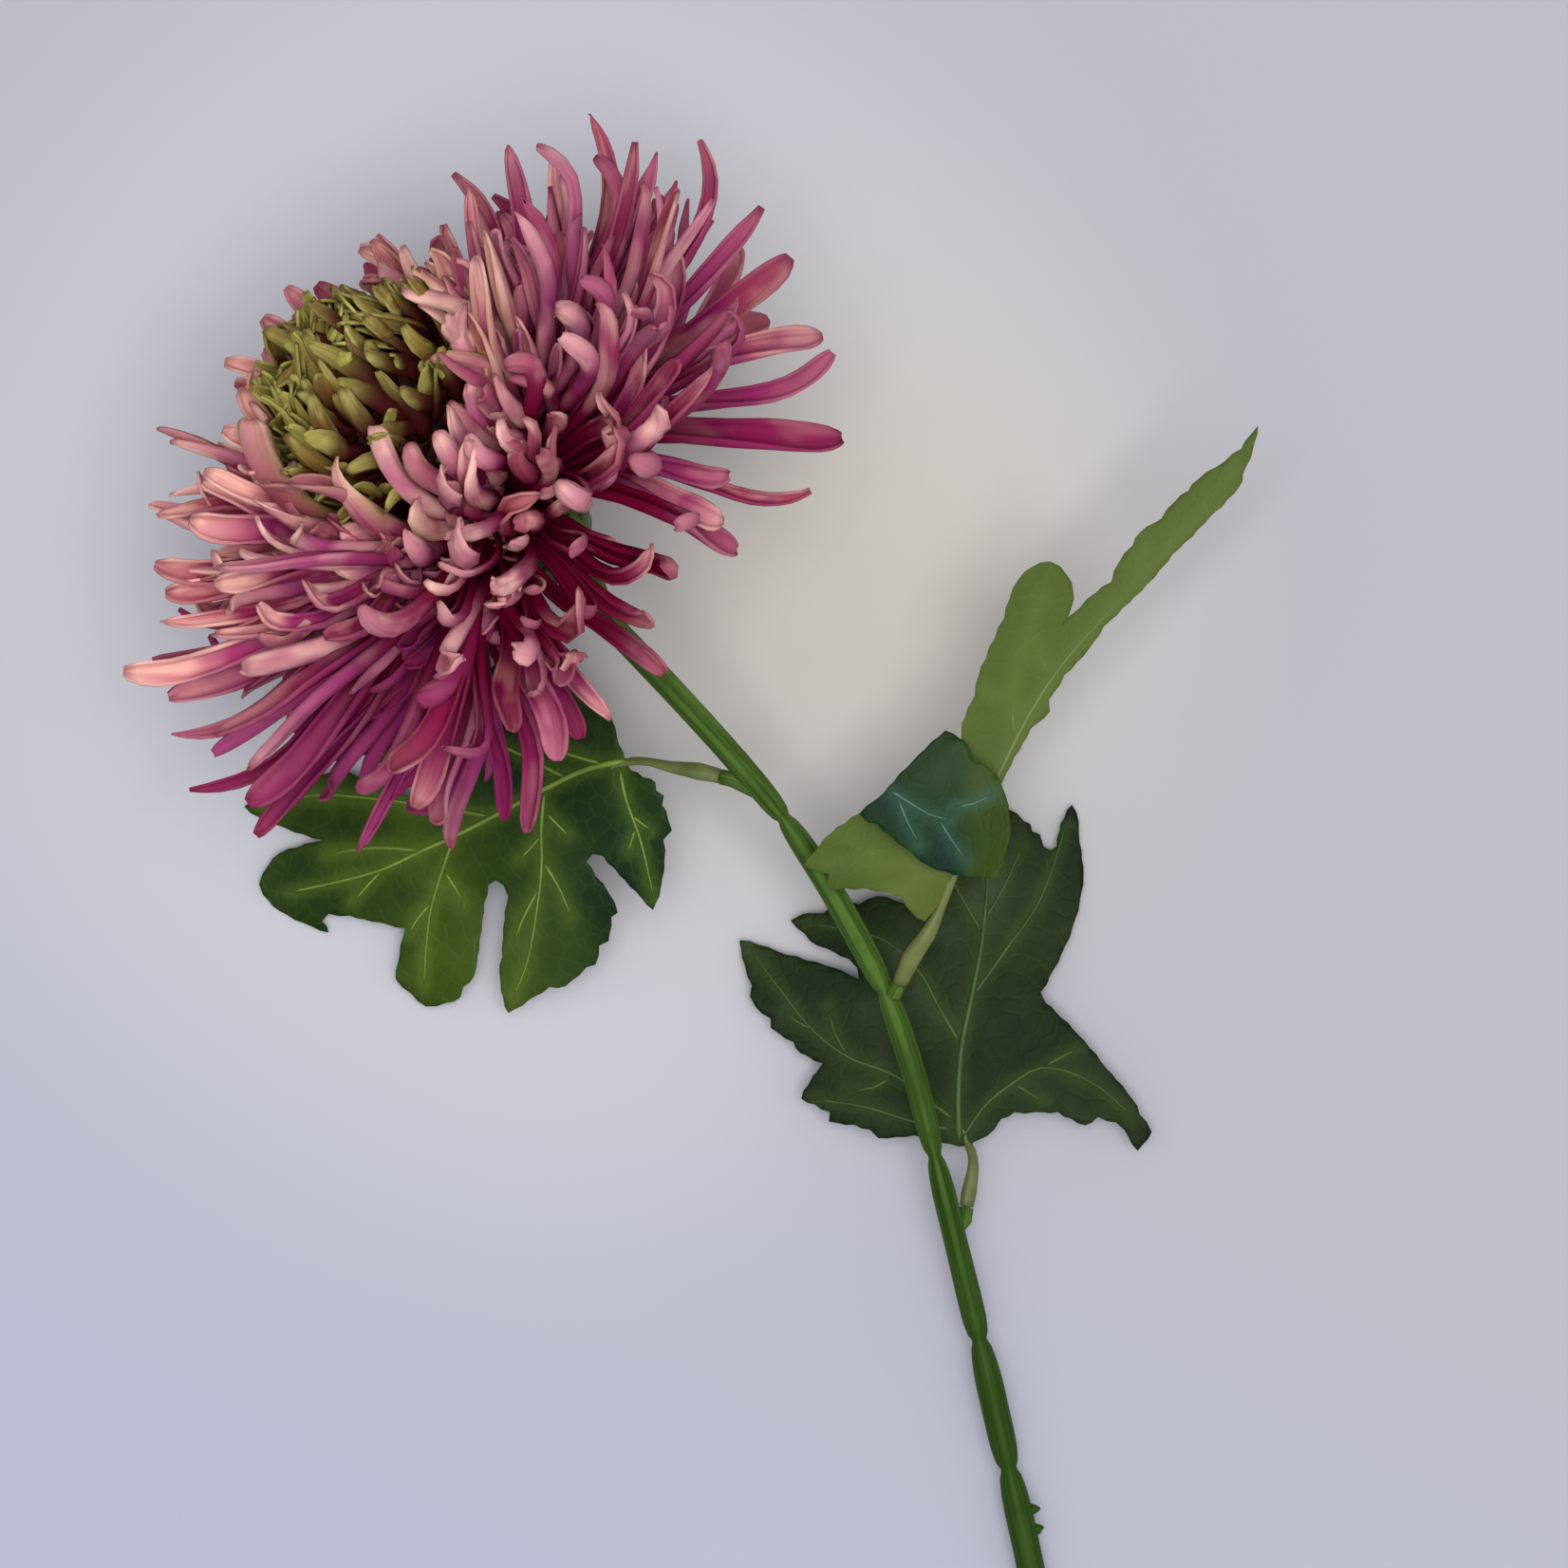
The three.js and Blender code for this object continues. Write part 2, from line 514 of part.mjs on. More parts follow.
// Blade cut by its outline from a gridded sheet that follows a height over the table.
function blade(outline, level, frame, height) {
  const corners = outline.map((pixel) => inLeaf(frame, fromPhoto(pixel, level)));
  const [low, high] = [Math.min, Math.max].map((pick) => [0, 1].map((k) => pick(...corners.map((c) => c[k]))));
  const [length, width] = [high[0] - low[0] + 4, high[1] - low[1] + 4];
  const cells = [length, width].map((size) => Math.round(size / BLADE_CELL));
  const sheet = new THREE.BoxGeometry(length, width, 1, ...cells, 1);
  const position = sheet.attributes.position;
  for (let i = 0; i < position.count; i += 1) {
    const along = position.getX(i) + (low[0] + high[0]) / 2;
    const side = position.getY(i) + (low[1] + high[1]) / 2;
    const at = frame.base.clone().addScaledVector(frame.along, along).addScaledVector(frame.left, side);
    const z = height(at) + BLADE_THICKNESS * position.getZ(i);
    position.setXYZ(i, at.x, at.y, z);
  }
  return toManifold(sheet).intersect(toManifold(outlinePrism(outline, level)));
}

// Thin stalk with a thicker sleeve at the stem end, running on just under the blade.
function petiole(leaf, height) {
  const points = leaf.petiole.map(([px, py, z]) => fromPhoto([px, py], z));
  points.slice(-UNDER_BLADE).forEach((point) => point.setZ(height(point) - 0.4));
  return toManifold(tube(points, leaf.radii, 7, new THREE.Vector3(0, 0, 1)));
}

function leafSolid(leaf, frame, height) {
  return blade(leaf.outline, leaf.level, frame, height).add(petiole(leaf, height));
}

// The flap turns over at the fold line and lies back above the rest of the blade.
function foldedLeafSolid() {
  const [start, end] = LEAF_FOLDED.fold.map((pixel) => fromPhoto(pixel, LEAF_FOLDED.level));
  const along = end.clone().sub(start).setZ(0).normalize();
  const across = new THREE.Vector3(along.y, -along.x, 0);
  const flapHeight = (point) => {
    const away = Math.max(point.clone().sub(start).dot(across), 0);
    return foldedHeight(point) + 0.25 + 4.2 * (1 - Math.exp(-away / 5));
  };
  const flapFrame = { base: start, along, left: new THREE.Vector3(-along.y, along.x, 0) };
  const flap = blade(LEAF_FOLDED.flap, LEAF_FOLDED.level, flapFrame, flapHeight);
  return leafSolid(LEAF_FOLDED, foldedFrame, foldedHeight).add(flap);
}

// Ray florets

// Weight from 0 to 1 of an azimuth sector: full within the inner angle, none past the outer one.
function sectorWeight(azimuth, middle, inner, outer) {
  const away = Math.abs(((azimuth - middle) % 360 + 540) % 360 - 180);
  return 1 - THREE.MathUtils.smoothstep(away, inner, outer);
}

function reachAt(polar, azimuth) {
  const camera = sectorWeight(azimuth, 90, 22, 62);
  const table = sectorWeight(azimuth, 270, 30, 75);
  const side = 1 - camera - table;
  const near = camera * lookUp(CAMERA_REACH, polar) + table * lookUp(TABLE_REACH, polar);
  return side * lookUp(SIDE_REACH, polar) + near;
}

// One rule for the whole head: golden-angle azimuths, the outer florets thrown back, the inner ones up.
function rayFlorets() {
  const random = seeded(RAY_SEED);
  const florets = [];
  for (let i = 0; i < RAY_COUNT; i += 1) {
    const whorl = i / (RAY_COUNT - 1);
    const [a, b, c, d, e, f, g, h] = Array.from({ length: 8 }, random);
    if (RAY_LEFT_OUT.includes(i)) continue;
    const full = RAY_SHORTENED.get(i) ?? 1;
    const azimuth = (i * GOLDEN_ANGLE + 16 * (a - 0.5)) % 360;
    const polar = RAY_POLAR[0] + (RAY_POLAR[1] - RAY_POLAR[0]) * whorl ** 0.95 + 16 * (b - 0.5);
    const nearCamera = sectorWeight(azimuth, 90, 22, 62);
    const raised = polar - nearCamera * 0.17 * (polar - 24);
    const hooked = h < 0.12 + 0.4 * nearCamera;
    florets.push({
      whorl,
      azimuth,
      polar: raised,
      reach: reachAt(raised, azimuth) * (0.8 + 0.2 * Math.sqrt(c)) * (hooked ? 0.9 : 1) * full,
      launch: 10 + 14 * d + 12 * whorl,
      lean: hooked ? 70 + 50 * e : 34 * e - 6,
      swing: 30 * (f - 0.5),
      twist: 170 * (g - 0.5),
      width: 0.86 + 0.3 * d,
      pointed: c < 0.3,
    });
  }
  return florets;
}

// Floret that ends at a point picked out in the photograph.
function singleFloret({ tip, height, lean, swing, width, launch = 14 }, number) {
  const offset = fromPhoto(tip, height).sub(bloomMiddle);
  const up = offset.dot(bloomAxis);
  const [right, top] = [offset.dot(bloomRight), offset.dot(bloomUp)];
  const polar = THREE.MathUtils.radToDeg(Math.atan2(Math.hypot(right, top), up));
  return {
    whorl: THREE.MathUtils.clamp((RAY_POLAR[0] - polar) / (RAY_POLAR[0] - RAY_POLAR[1]), 0, 1),
    azimuth: THREE.MathUtils.radToDeg(Math.atan2(top, right)),
    polar,
    reach: offset.length(),
    launch,
    lean,
    swing,
    twist: (number % 4 - 1.5) * 40,
    width,
    pointed: width < 0.9,
  };
}

// Free run of a floret from its root in the core to its tip.
function floretCurve({ whorl, azimuth, polar, reach, launch, lean, swing }) {
  const root = alongAxis(THREE.MathUtils.lerp(...ROOT_HEIGHTS, whorl))
    .addScaledVector(bloomDirection(90, azimuth), THREE.MathUtils.lerp(...ROOT_RADII, whorl));
  const tip = bloomMiddle.clone().addScaledVector(bloomDirection(polar, azimuth), reach);
  const span = root.distanceTo(tip);
  const first = root.clone().addScaledVector(bloomDirection(polar + launch, azimuth - swing), 0.4 * span);
  const second = tip.clone().addScaledVector(bloomDirection(polar - lean, azimuth + swing), -0.36 * span);
  return new THREE.CubicBezierCurve3(root, first, second, tip);
}

const centreMiddle = alongAxis(CENTRE_HEIGHT);
const stemGuide = [0, 8, 16, 26, 40, 55].map((along) => stem.getPointAt(along / stemLength));
stemGuide.unshift(alongAxis(0));

function nearestOnStem(point) {
  const target = new THREE.Vector3();
  let best = null;
  for (let i = 1; i < stemGuide.length; i += 1) {
    new THREE.Line3(stemGuide[i - 1], stemGuide[i]).closestPointToPoint(point, true, target);
    if (!best || target.distanceTo(point) < best.distanceTo(point)) best = target.clone();
  }
  return best;
}

function pushOut(point, from, clearance) {
  const offset = point.clone().sub(from);
  if (offset.length() < clearance) point.copy(from).addScaledVector(offset.normalize(), clearance);
}

// Point of a ray floret bent clear of the green centre, the stem, the leaf below and the table.
function settle(point) {
  pushOut(point, centreMiddle, CENTRE_REACH + 2.2);
  if (point.clone().sub(bloomMiddle).dot(bloomAxis) < -3) pushOut(point, nearestOnStem(point), 7);
  const [along, side] = inLeaf(leftFrame, point);
  if (along > -6 && along < 70 && Math.abs(side) < 38) point.z = Math.max(point.z, leftHeight(point) + 3);
  point.z = Math.max(point.z, 0.3);
  return point;
}

// Channelled blade: four corners, the edges raised towards the face of the bloom.
function floretSolid(points, azimuth, widths, twists, thickness) {
  const reference = bloomDirection(90, azimuth - 90);
  const frames = framesAlong(points, reference, twists);
  const geometry = sweep(frames, 4, (station, angle, rim) => {
    const width = widths[station];
    const depth = CHANNEL_DEPTH * Math.min(width / 3.5, 1);
    const half = 0.5 * thickness * Math.min(width, 1);
    if (!rim || width === 0) return [0, 0];
    const edge = Math.abs(Math.sin(angle)) > 0.5;
    return edge ? [0.5 * width * Math.sign(Math.sin(angle)), depth] : [0, half * Math.sign(Math.cos(angle))];
  });
  const position = geometry.attributes.position;
  for (let i = 0; i < position.count; i += 1) position.setZ(i, Math.max(position.getZ(i), 0));
  return toManifold(geometry);
}

function rayFloretSolid(floret, stations) {
  const curve = floretCurve(floret);
  const points = stations.map((t) => settle(curve.getPoint(t)));
  const outline = floret.pointed ? POINTED_WIDTHS : ROUND_WIDTHS;
  const widths = stations.map((t) => lookUp(outline, t) * floret.width);
  const twists = stations.map((t) => radians(floret.twist * t));
  return floretSolid(points, floret.azimuth, widths, twists, FLORET_THICKNESS);
}

function rayHead() {
  const core = toManifold(turned(CORE_PROFILE, 20));
  const byRule = rayFlorets().map((floret) => rayFloretSolid(floret, RULE_STATIONS));
  const singles = SINGLE_FLORETS.map(singleFloret).map((floret) => rayFloretSolid(floret, SINGLE_STATIONS));
  return joinAll([core, ...byRule, ...singles]);
}

// Centre florets

// Short florets that stand out from the core and curl over the middle, a few to each side.
function centreFloretSolid(number, random) {
  const spread = number / (CENTRE_COUNT - 1);
  const azimuth = number * GOLDEN_ANGLE + 14 * (random() - 0.5);
  const polar = CENTRE_POLAR[0] + (CENTRE_POLAR[1] - CENTRE_POLAR[0]) * spread + 8 * (random() - 0.5);
  const climb = 16 + 34 * random();
  const reach = CENTRE_REACH * (0.86 + 0.14 * random());
  const swing = 50 * (random() - 0.5);
  const out = (angle, turn, radius) => {
    return centreMiddle.clone().addScaledVector(bloomDirection(angle, azimuth + turn), radius);
  };
  const curve = new THREE.CubicBezierCurve3(
    out(polar, 0, 9.5), out(polar + 6, 0, reach - 4), out(polar - 0.4 * climb, 0.5 * swing, reach),
    out(polar - climb, swing, reach - 1),
  );
  const points = CENTRE_STATIONS.map((t) => curve.getPoint(t));
  const twist = radians(80 * (random() - 0.5));
  const scale = 0.85 + 0.3 * random();
  const twists = CENTRE_STATIONS.map((t) => twist * t);
  return floretSolid(points, azimuth, CENTRE_WIDTHS.map((width) => width * scale), twists, 1.2);
}

function centreHead() {
  const random = seeded(CENTRE_SEED);
  const florets = Array.from({ length: CENTRE_COUNT }, (_, i) => centreFloretSolid(i, random));
  return joinAll([toManifold(turned(CENTRE_PROFILE, 16)), ...florets]);
}

// Named meshes

function piece(name, solid, colour, roughness) {
  const material = new THREE.MeshStandardMaterial({ color: colour, roughness, metalness: 0 });
  const mesh = new THREE.Mesh(toGeometry(solid), material);
  mesh.name = name;
  return mesh;
}

const flower = new THREE.Group();
flower.name = 'disbud_chrysanthemum';
flower.add(
  piece('stem', stemSolid(), 0x4f7a24, 0.55),
  piece('calyx', toManifold(turned(CALYX_PROFILE, 18)), 0x567f2c, 0.6),
  piece('ray_florets', rayHead(), 0xa04a78, 0.75),
  piece('centre_florets', centreHead(), 0x8a8436, 0.75),
  piece('leaf_left', leafSolid(LEAF_LEFT, leftFrame, leftHeight), 0x35602a, 0.4),
  piece('leaf_folded', foldedLeafSolid(), 0x5c7a38, 0.5),
  piece('leaf_lower', leafSolid(LEAF_LOWER, lowerFrame, lowerHeight), 0x2c4a2a, 0.45),
);

// The origin is the middle of the box's underside.
const box = new THREE.Box3().setFromObject(flower);
const middle = box.getCenter(new THREE.Vector3());
flower.children.forEach((mesh) => mesh.geometry.translate(-middle.x, -middle.y, 0));

export default flower;
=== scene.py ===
"""Disbud chrysanthemum lying on a pale table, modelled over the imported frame.

Sizes are worked out in millimetres in the drawing frame of the part's source: X and Y are the
photograph's right and up, Z is the height over the table. Meshes are stored in metres in the
row frame, whose origin is the middle of the underside of the whole flower.
"""

import logging
import math
from dataclasses import dataclass, field, replace
from enum import Enum
from typing import Callable, Iterator, Sequence

import bmesh
import bpy
from mathutils import Matrix, Vector


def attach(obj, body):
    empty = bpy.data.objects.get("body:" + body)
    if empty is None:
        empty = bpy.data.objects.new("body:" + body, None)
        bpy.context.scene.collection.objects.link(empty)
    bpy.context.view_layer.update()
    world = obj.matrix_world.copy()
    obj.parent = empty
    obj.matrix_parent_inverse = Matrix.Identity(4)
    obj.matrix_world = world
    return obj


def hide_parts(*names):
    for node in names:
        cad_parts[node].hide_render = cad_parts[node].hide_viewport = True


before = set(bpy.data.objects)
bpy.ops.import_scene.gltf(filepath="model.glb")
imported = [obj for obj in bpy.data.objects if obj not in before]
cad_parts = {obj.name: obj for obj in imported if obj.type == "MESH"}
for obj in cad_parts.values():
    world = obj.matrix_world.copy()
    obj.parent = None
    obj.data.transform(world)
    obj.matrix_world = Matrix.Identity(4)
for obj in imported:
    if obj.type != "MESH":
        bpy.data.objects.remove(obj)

log = logging.getLogger("chrysanthemum")

MM = 0.001
ORIGIN = Vector((-13.8496, -108.3478, 0.0))
UP = Vector((0, 0, 1))
PHOTO_MIDDLE = 826
MM_PER_PIXEL = 0.163
CAMERA_HEIGHT = 1000.0
PHOTO_SIZE = 1652
SENSOR = 36.0
GAP = 0.3
GOLDEN_ANGLE = 137.508
TABLE_LIFT = 0.05
CUP_FOOT = -14
CENTRE_HEIGHT = 30.5
CENTRE_REACH = 19.8

Pixel = tuple[float, float]
Table = Sequence[tuple[float, float]]
Colour = tuple[float, float, float]
Spot = tuple[float, float, float]
HeightOf = Callable[[Vector], float]
RadiusOf = Callable[[int, float], float]


# Numbers and lines


def from_photo(pixel: Sequence[float], height: float) -> Vector:
    """Point of the drawing frame, at a height over the table, that the camera sees at a pixel."""
    scale = MM_PER_PIXEL * (1 - height / CAMERA_HEIGHT)
    return Vector(((pixel[0] - PHOTO_MIDDLE) * scale, (PHOTO_MIDDLE - pixel[1]) * scale, height))


def from_spots(spots: Sequence[Spot]) -> list[Vector]:
    """Points of pixels that have their heights with them."""
    return [from_photo(spot[:2], spot[2]) for spot in spots]


def to_row(point: Vector) -> Vector:
    """Moves a drawing-frame point in millimetres to the row frame in metres."""
    return (point - ORIGIN) * MM


def look_up(table: Table, at: float) -> float:
    """Reads a table of positions and values between its entries.

    Args:
        table: Pairs in rising order.
        at: Position to read.

    Returns:
        The value there, held level past either end.
    """
    if at <= table[0][0]:
        return table[0][1]
    for (x0, y0), (x1, y1) in zip(table, table[1:]):
        if at <= x1:
            return y0 + (y1 - y0) * (at - x0) / (x1 - x0)
    return table[-1][1]


def smooth(value: float, low: float, high: float) -> float:
    """Smooth step from 0 at low to 1 at high."""
    share = min(max((value - low) / (high - low), 0.0), 1.0)
    return share * share * (3 - 2 * share)


def mix(start: float, end: float, share: float) -> float:
    """Straight mix of two numbers."""
    return start + (end - start) * share


def bell(away: float, width: float) -> float:
    """Bell-shaped weight: 1 at no distance, falling off over a width."""
    return math.exp(-((away / width) ** 2))


def bezier(points: Sequence[Vector], at: float) -> Vector:
    """Point of a cubic curve.

    Args:
        points: Its four control points.
        at: Position from 0 to 1.

    Returns:
        The point.
    """
    rest = 1 - at
    return (points[0] * rest ** 3 + points[1] * (3 * rest * rest * at)
            + points[2] * (3 * rest * at * at) + points[3] * at ** 3)


class Dice:
    """Random numbers from 0 to 1 that are the same in every run, as in the part's source."""

    def __init__(self, seed: int) -> None:
        """Starts the row of numbers at a seed."""
        self.state = seed & 0xFFFFFFFF

    def roll(self) -> float:
        """Next number of the row.

        Returns:
            The number.
        """
        self.state = (self.state + 0x6D2B79F5) & 0xFFFFFFFF
        value = self.state
        value = ((value ^ (value >> 15)) * (value | 1)) & 0xFFFFFFFF
        value ^= (value + ((value ^ (value >> 7)) * (value | 61))) & 0xFFFFFFFF
        return (value ^ (value >> 14)) / 4294967296

    def spread(self, size: float) -> float:
        """Number within half a size either side of 0."""
        return size * (self.roll() - 0.5)


@dataclass(frozen=True)
class Station:
    """Place on a swept line with its sideways and normal directions."""

    point: Vector
    side: Vector
    normal: Vector

    def offset(self, across: float, up: float) -> Vector:
        """Point at sideways and normal distances from the line."""
        return self.point + self.side * across + self.normal * up

    def around(self, angle: float, reach: float) -> Vector:
        """Point at an angle about the line and a distance from it."""
        return self.offset(reach * math.sin(angle), reach * math.cos(angle))


def stations_along(points: Sequence[Vector], reference: Vector,
                   twists: Sequence[float] | None = None) -> list[Station]:
    """Stations on a line of points.

    Args:
        points: Points of the line.
        reference: Direction that the sideways direction stays near.
        twists: Turn about the line at each point, in radians.

    Returns:
        One station for each point.
    """
    made = []
    for index, point in enumerate(points):
        tangent = (points[min(index + 1, len(points) - 1)] - points[max(index - 1, 0)]).normalized()
        side = (reference - tangent * reference.dot(tangent)).normalized()
        if twists:
            side = Matrix.Rotation(twists[index], 3, tangent) @ side
        made.append(Station(point, side, tangent.cross(side)))
    return made


class SmoothLine:
    """Centripetal curve through points, measured along its length."""

    SAMPLES = 1200

    def __init__(self, points: Sequence[Vector]) -> None:
        """Measures the curve.

        Args:
            points: Points that it passes.
        """
        self.points = list(points)
        self.samples = [self._at(index / self.SAMPLES) for index in range(self.SAMPLES + 1)]
        self.lengths = [0.0]
        for before, after in zip(self.samples, self.samples[1:]):
            self.lengths.append(self.lengths[-1] + (after - before).length)

    @property
    def length(self) -> float:
        """Whole length of the curve."""
        return self.lengths[-1]

    def _at(self, share: float) -> Vector:
        """Point at a share of the curve's parameter.

        Args:
            share: From 0 at the first point to 1 at the last.

        Returns:
            The point.
        """
        pts = self.points
        place = share * (len(pts) - 1)
        first = min(int(place), len(pts) - 2)
        part = place - first
        p1, p2 = pts[first], pts[first + 1]
        p0 = pts[first - 1] if first else p1 * 2 - p2
        p3 = pts[first + 2] if first + 2 < len(pts) else p2 * 2 - p1
        d0, d1, d2 = (math.sqrt((b - a).length) for a, b in ((p0, p1), (p1, p2), (p2, p3)))
        start = ((p1 - p0) / d0 - (p2 - p0) / (d0 + d1) + (p2 - p1) / d1) * d1
        end = ((p2 - p1) / d1 - (p3 - p1) / (d1 + d2) + (p3 - p2) / d2) * d1
        square, cube = part * part, part ** 3
        return (p1 + start * part + (p1 * -3 + p2 * 3 - start * 2 - end) * square
                + (p1 * 2 - p2 * 2 + start + end) * cube)

    def at(self, along: float) -> Vector:
        """Point at a distance along the curve.

        Args:
            along: Distance from the start, in millimetres.

        Returns:
            The point.
        """
        along = min(max(along, 0.0), self.length)
        low, high = 0, len(self.lengths) - 1
        while high - low > 1:
            middle = (low + high) // 2
            low, high = (middle, high) if self.lengths[middle] <= along else (low, middle)
        part = (along - self.lengths[low]) / max(self.lengths[high] - self.lengths[low], 1e-9)
        return self.samples[low].lerp(self.samples[high], part)


# Shader trees


class Socket:
    """Output of a shader node, with arithmetic that adds Math nodes."""

    def __init__(self, shader: "Shader", output: bpy.types.NodeSocket) -> None:
        """Wraps an output of a shader."""
        self.shader = shader
        self.output = output

    def _math(self, operation: str, *values: "Socket | float") -> "Socket":
        """Adds a Math node on this value and others."""
        inputs = dict(enumerate((self, *values)))
        return self.shader.node("ShaderNodeMath", {"operation": operation}, inputs)

    def __add__(self, other: "Socket | float") -> "Socket":
        """Sum."""
        return self._math("ADD", other)

    __radd__ = __add__

    def __mul__(self, other: "Socket | float") -> "Socket":
        """Product."""
        return self._math("MULTIPLY", other)

    __rmul__ = __mul__

    def __sub__(self, other: "Socket | float") -> "Socket":
        """Difference."""
        return self._math("SUBTRACT", other)

    def __rsub__(self, other: float) -> "Socket":
        """Difference from a number."""
        return self.shader.node("ShaderNodeMath", {"operation": "SUBTRACT"}, {0: other, 1: self})

    def step(self, low: float, high: float) -> "Socket":
        """Smooth step from 0 at low to 1 at high."""
        settings = {"interpolation_type": "SMOOTHSTEP"}
        return self.shader.node("ShaderNodeMapRange", settings, {0: self, 1: low, 2: high})


class Shader:
    """Material made of nodes round one Principled surface."""

    # Sockets of the Mix node that a colour mix uses
    FACTOR, COLOUR_A, COLOUR_B, COLOUR_RESULT = 0, 6, 7, 2

    def __init__(self, name: str, **constants: float) -> None:
        """Starts a material.

        Args:
            name: Its name.
            constants: Values of the surface's sockets, with _ for a space.
        """
        self.material = bpy.data.materials.new(name)
        self.material.use_nodes = True
        self.tree = self.material.node_tree
        self.surface = self.tree.nodes["Principled BSDF"]
        for socket, value in constants.items():
            self.surface.inputs[socket.replace("_", " ")].default_value = value

    def node(self, kind: str, settings: dict[str, object] | None = None,
             inputs: dict[int | str, object] | None = None, output: int | str = 0) -> Socket:
        """Adds a node.

        Args:
            kind: Node type.
            settings: Properties of the node, set first.
            inputs: Values or links of its sockets.
            output: Output to hand back.

        Returns:
            The wrapped output.
        """
        made = self.tree.nodes.new(kind)
        for key, value in (settings or {}).items():
            setattr(made, key, value)
        for key, value in (inputs or {}).items():
            if isinstance(value, Socket):
                self.tree.links.new(value.output, made.inputs[key])
            else:
                made.inputs[key].default_value = value
        return Socket(self, made.outputs[output])

    def attribute(self, name: str) -> Socket:
        """Number stored on the mesh."""
        return self.node("ShaderNodeAttribute", {"attribute_name": name}, output="Fac")

    def place(self) -> Socket:
        """Object coordinates."""
        return self.node("ShaderNodeTexCoord", output="Object")

    def noise(self, scale: float, detail: float = 2.0, vector: Socket | None = None) -> Socket:
        """Noise over object coordinates or a given vector."""
        inputs = {"Vector": vector or self.place(), "Scale": scale, "Detail": detail}
        return self.node("ShaderNodeTexNoise", {}, inputs)

    def vector(self, x: Socket | float, y: Socket | float, z: Socket | float = 0.0) -> Socket:
        """Vector of three values."""
        return self.node("ShaderNodeCombineXYZ", {}, {0: x, 1: y, 2: z})

    def blend(self, share: Socket | float, first: "Socket | Colour", second: "Socket | Colour") -> Socket:
        """Mixes two colours.

        Args:
            share: Weight of the second colour.
            first: Colour at 0.
            second: Colour at 1.

        Returns:
            The mixed colour.
        """
        ready = [value if isinstance(value, Socket) else (*value, 1.0) for value in (first, second)]
        settings = {"data_type": "RGBA", "clamp_factor": True}
        inputs = {self.FACTOR: share, self.COLOUR_A: ready[0], self.COLOUR_B: ready[1]}
        return self.node("ShaderNodeMix", settings, inputs, self.COLOUR_RESULT)

    def feed(self, name: str, value: Socket) -> None:
        """Links a value to a socket of the surface."""
        self.tree.links.new(value.output, self.surface.inputs[name])

    def bump(self, height: Socket, distance: float, strength: float = 1.0) -> None:
        """Feeds a bump of a depth in metres to the surface's normal."""
        inputs = {"Height": height, "Distance": distance, "Strength": strength}
        self.feed("Normal", self.node("ShaderNodeBump", {}, inputs))


def linear(value: int) -> float:
    """Linear share of one channel's screen value from 0 to 255."""
    share = value / 255
    return share / 12.92 if share <= 0.04045 else ((share + 0.055) / 1.055) ** 2.4


def shade(red: int, green: int, blue: int) -> Colour:
    """Linear colour for screen values from 0 to 255."""
    return linear(red), linear(green), linear(blue)


@dataclass(frozen=True)
class FloretFinish:
    """Soft floret: dark root, streaked body that varies from floret to floret, pale tip; painted shade
    darkens florets away from the light and stretches the dark root, and painted light raises the pale share.
    """

    name: str
    # dark root, partly the florets' own colour and partly painted shade
    root: Colour
    body: Colour
    other: Colour
    # shade colour: painted shade on florets away from the light, and random mottle
    shadow: Colour
    tip: Colour
    late: Colour
    # wine colour of the near side, partly painted shade
    wine_and_shade: Colour
    tip_start: float
    edge_share: float = 0.5
    # how much further the dark root, partly painted shade, reaches where deep
    depth: float = 0.3
    withered: float = 0.55
    mottle: float = 95.0
    bump: float = 0.0002

    def build(self) -> bpy.types.Material:
        """Makes the material.

        Returns:
            The finished material.
        """
        shader = Shader(self.name, Specular_IOR_Level=0.06)
        along, across = shader.attribute("along"), shader.attribute("across")
        tint, late = shader.attribute("tint"), shader.attribute("late")
        lines = shader.noise(1.0, 2, shader.vector(across * 2.6, along * 1.6, tint * 57.0))
        clouds = shader.noise(self.mottle)
        patches = shader.noise(1.0, 2, shader.vector(along * 3.4, across * 0.5, tint * 91.0))
        body = shader.blend(tint.step(0.15, 0.85), self.body, self.other)
        body = shader.blend(clouds.step(0.5, 0.66) * 0.65, body, self.shadow)
        body = shader.blend(late * (0.14 + across * across * 0.86), body, self.late)
        deep, light = shader.attribute("deep"), shader.attribute("pale")
        # painted shade, partly the florets' own wine: bodies go wine on the near side, where deep is high
        body = shader.blend(deep * (1.1 - tint) * 0.6, body, self.wine_and_shade)
        # painted shade: florets with a low pale share, away from the light, go towards the shade colour
        body = shader.blend((1 - light) * 0.5, body, self.shadow)
        # the dark root reaches further where deep and away from the light: painted shade over the florets'
        # own dark root
        past_root_and_shade = along - deep * self.depth - (1 - light) * 0.16
        colour = shader.blend(past_root_and_shade.step(0.08, 0.66), self.root, body)
        edge = (across * across).step(0.3, 1.0) * along.step(0.3, 0.8) * self.edge_share
        tip = along.step(self.tip_start, 1.0) * (0.15 + 0.75 * tint)
        # pale edges, tips and patches are the florets' own salmon, weighted by the pale share, which is
        # partly painted light
        pale = (edge + tip + patches.step(0.46, 0.7) * 0.8) * (light * 0.93 + 0.07)
        colour = shader.blend(pale * past_root_and_shade.step(0.12, 0.5), colour, self.tip)
        colour = shader.blend(lines.step(0.48, 0.74) * 0.4, colour, self.root)
        withered = along.step(0.955, 1.0) * patches.step(0.44, 0.5) * self.withered
        colour = shader.blend(withered, colour, self.root)
        shader.feed("Base Color", colour)
        shader.feed("Roughness", 0.5 + lines * 0.2)
        shader.bump(lines + clouds * 0.4, self.bump, 0.6)
        return shader.material


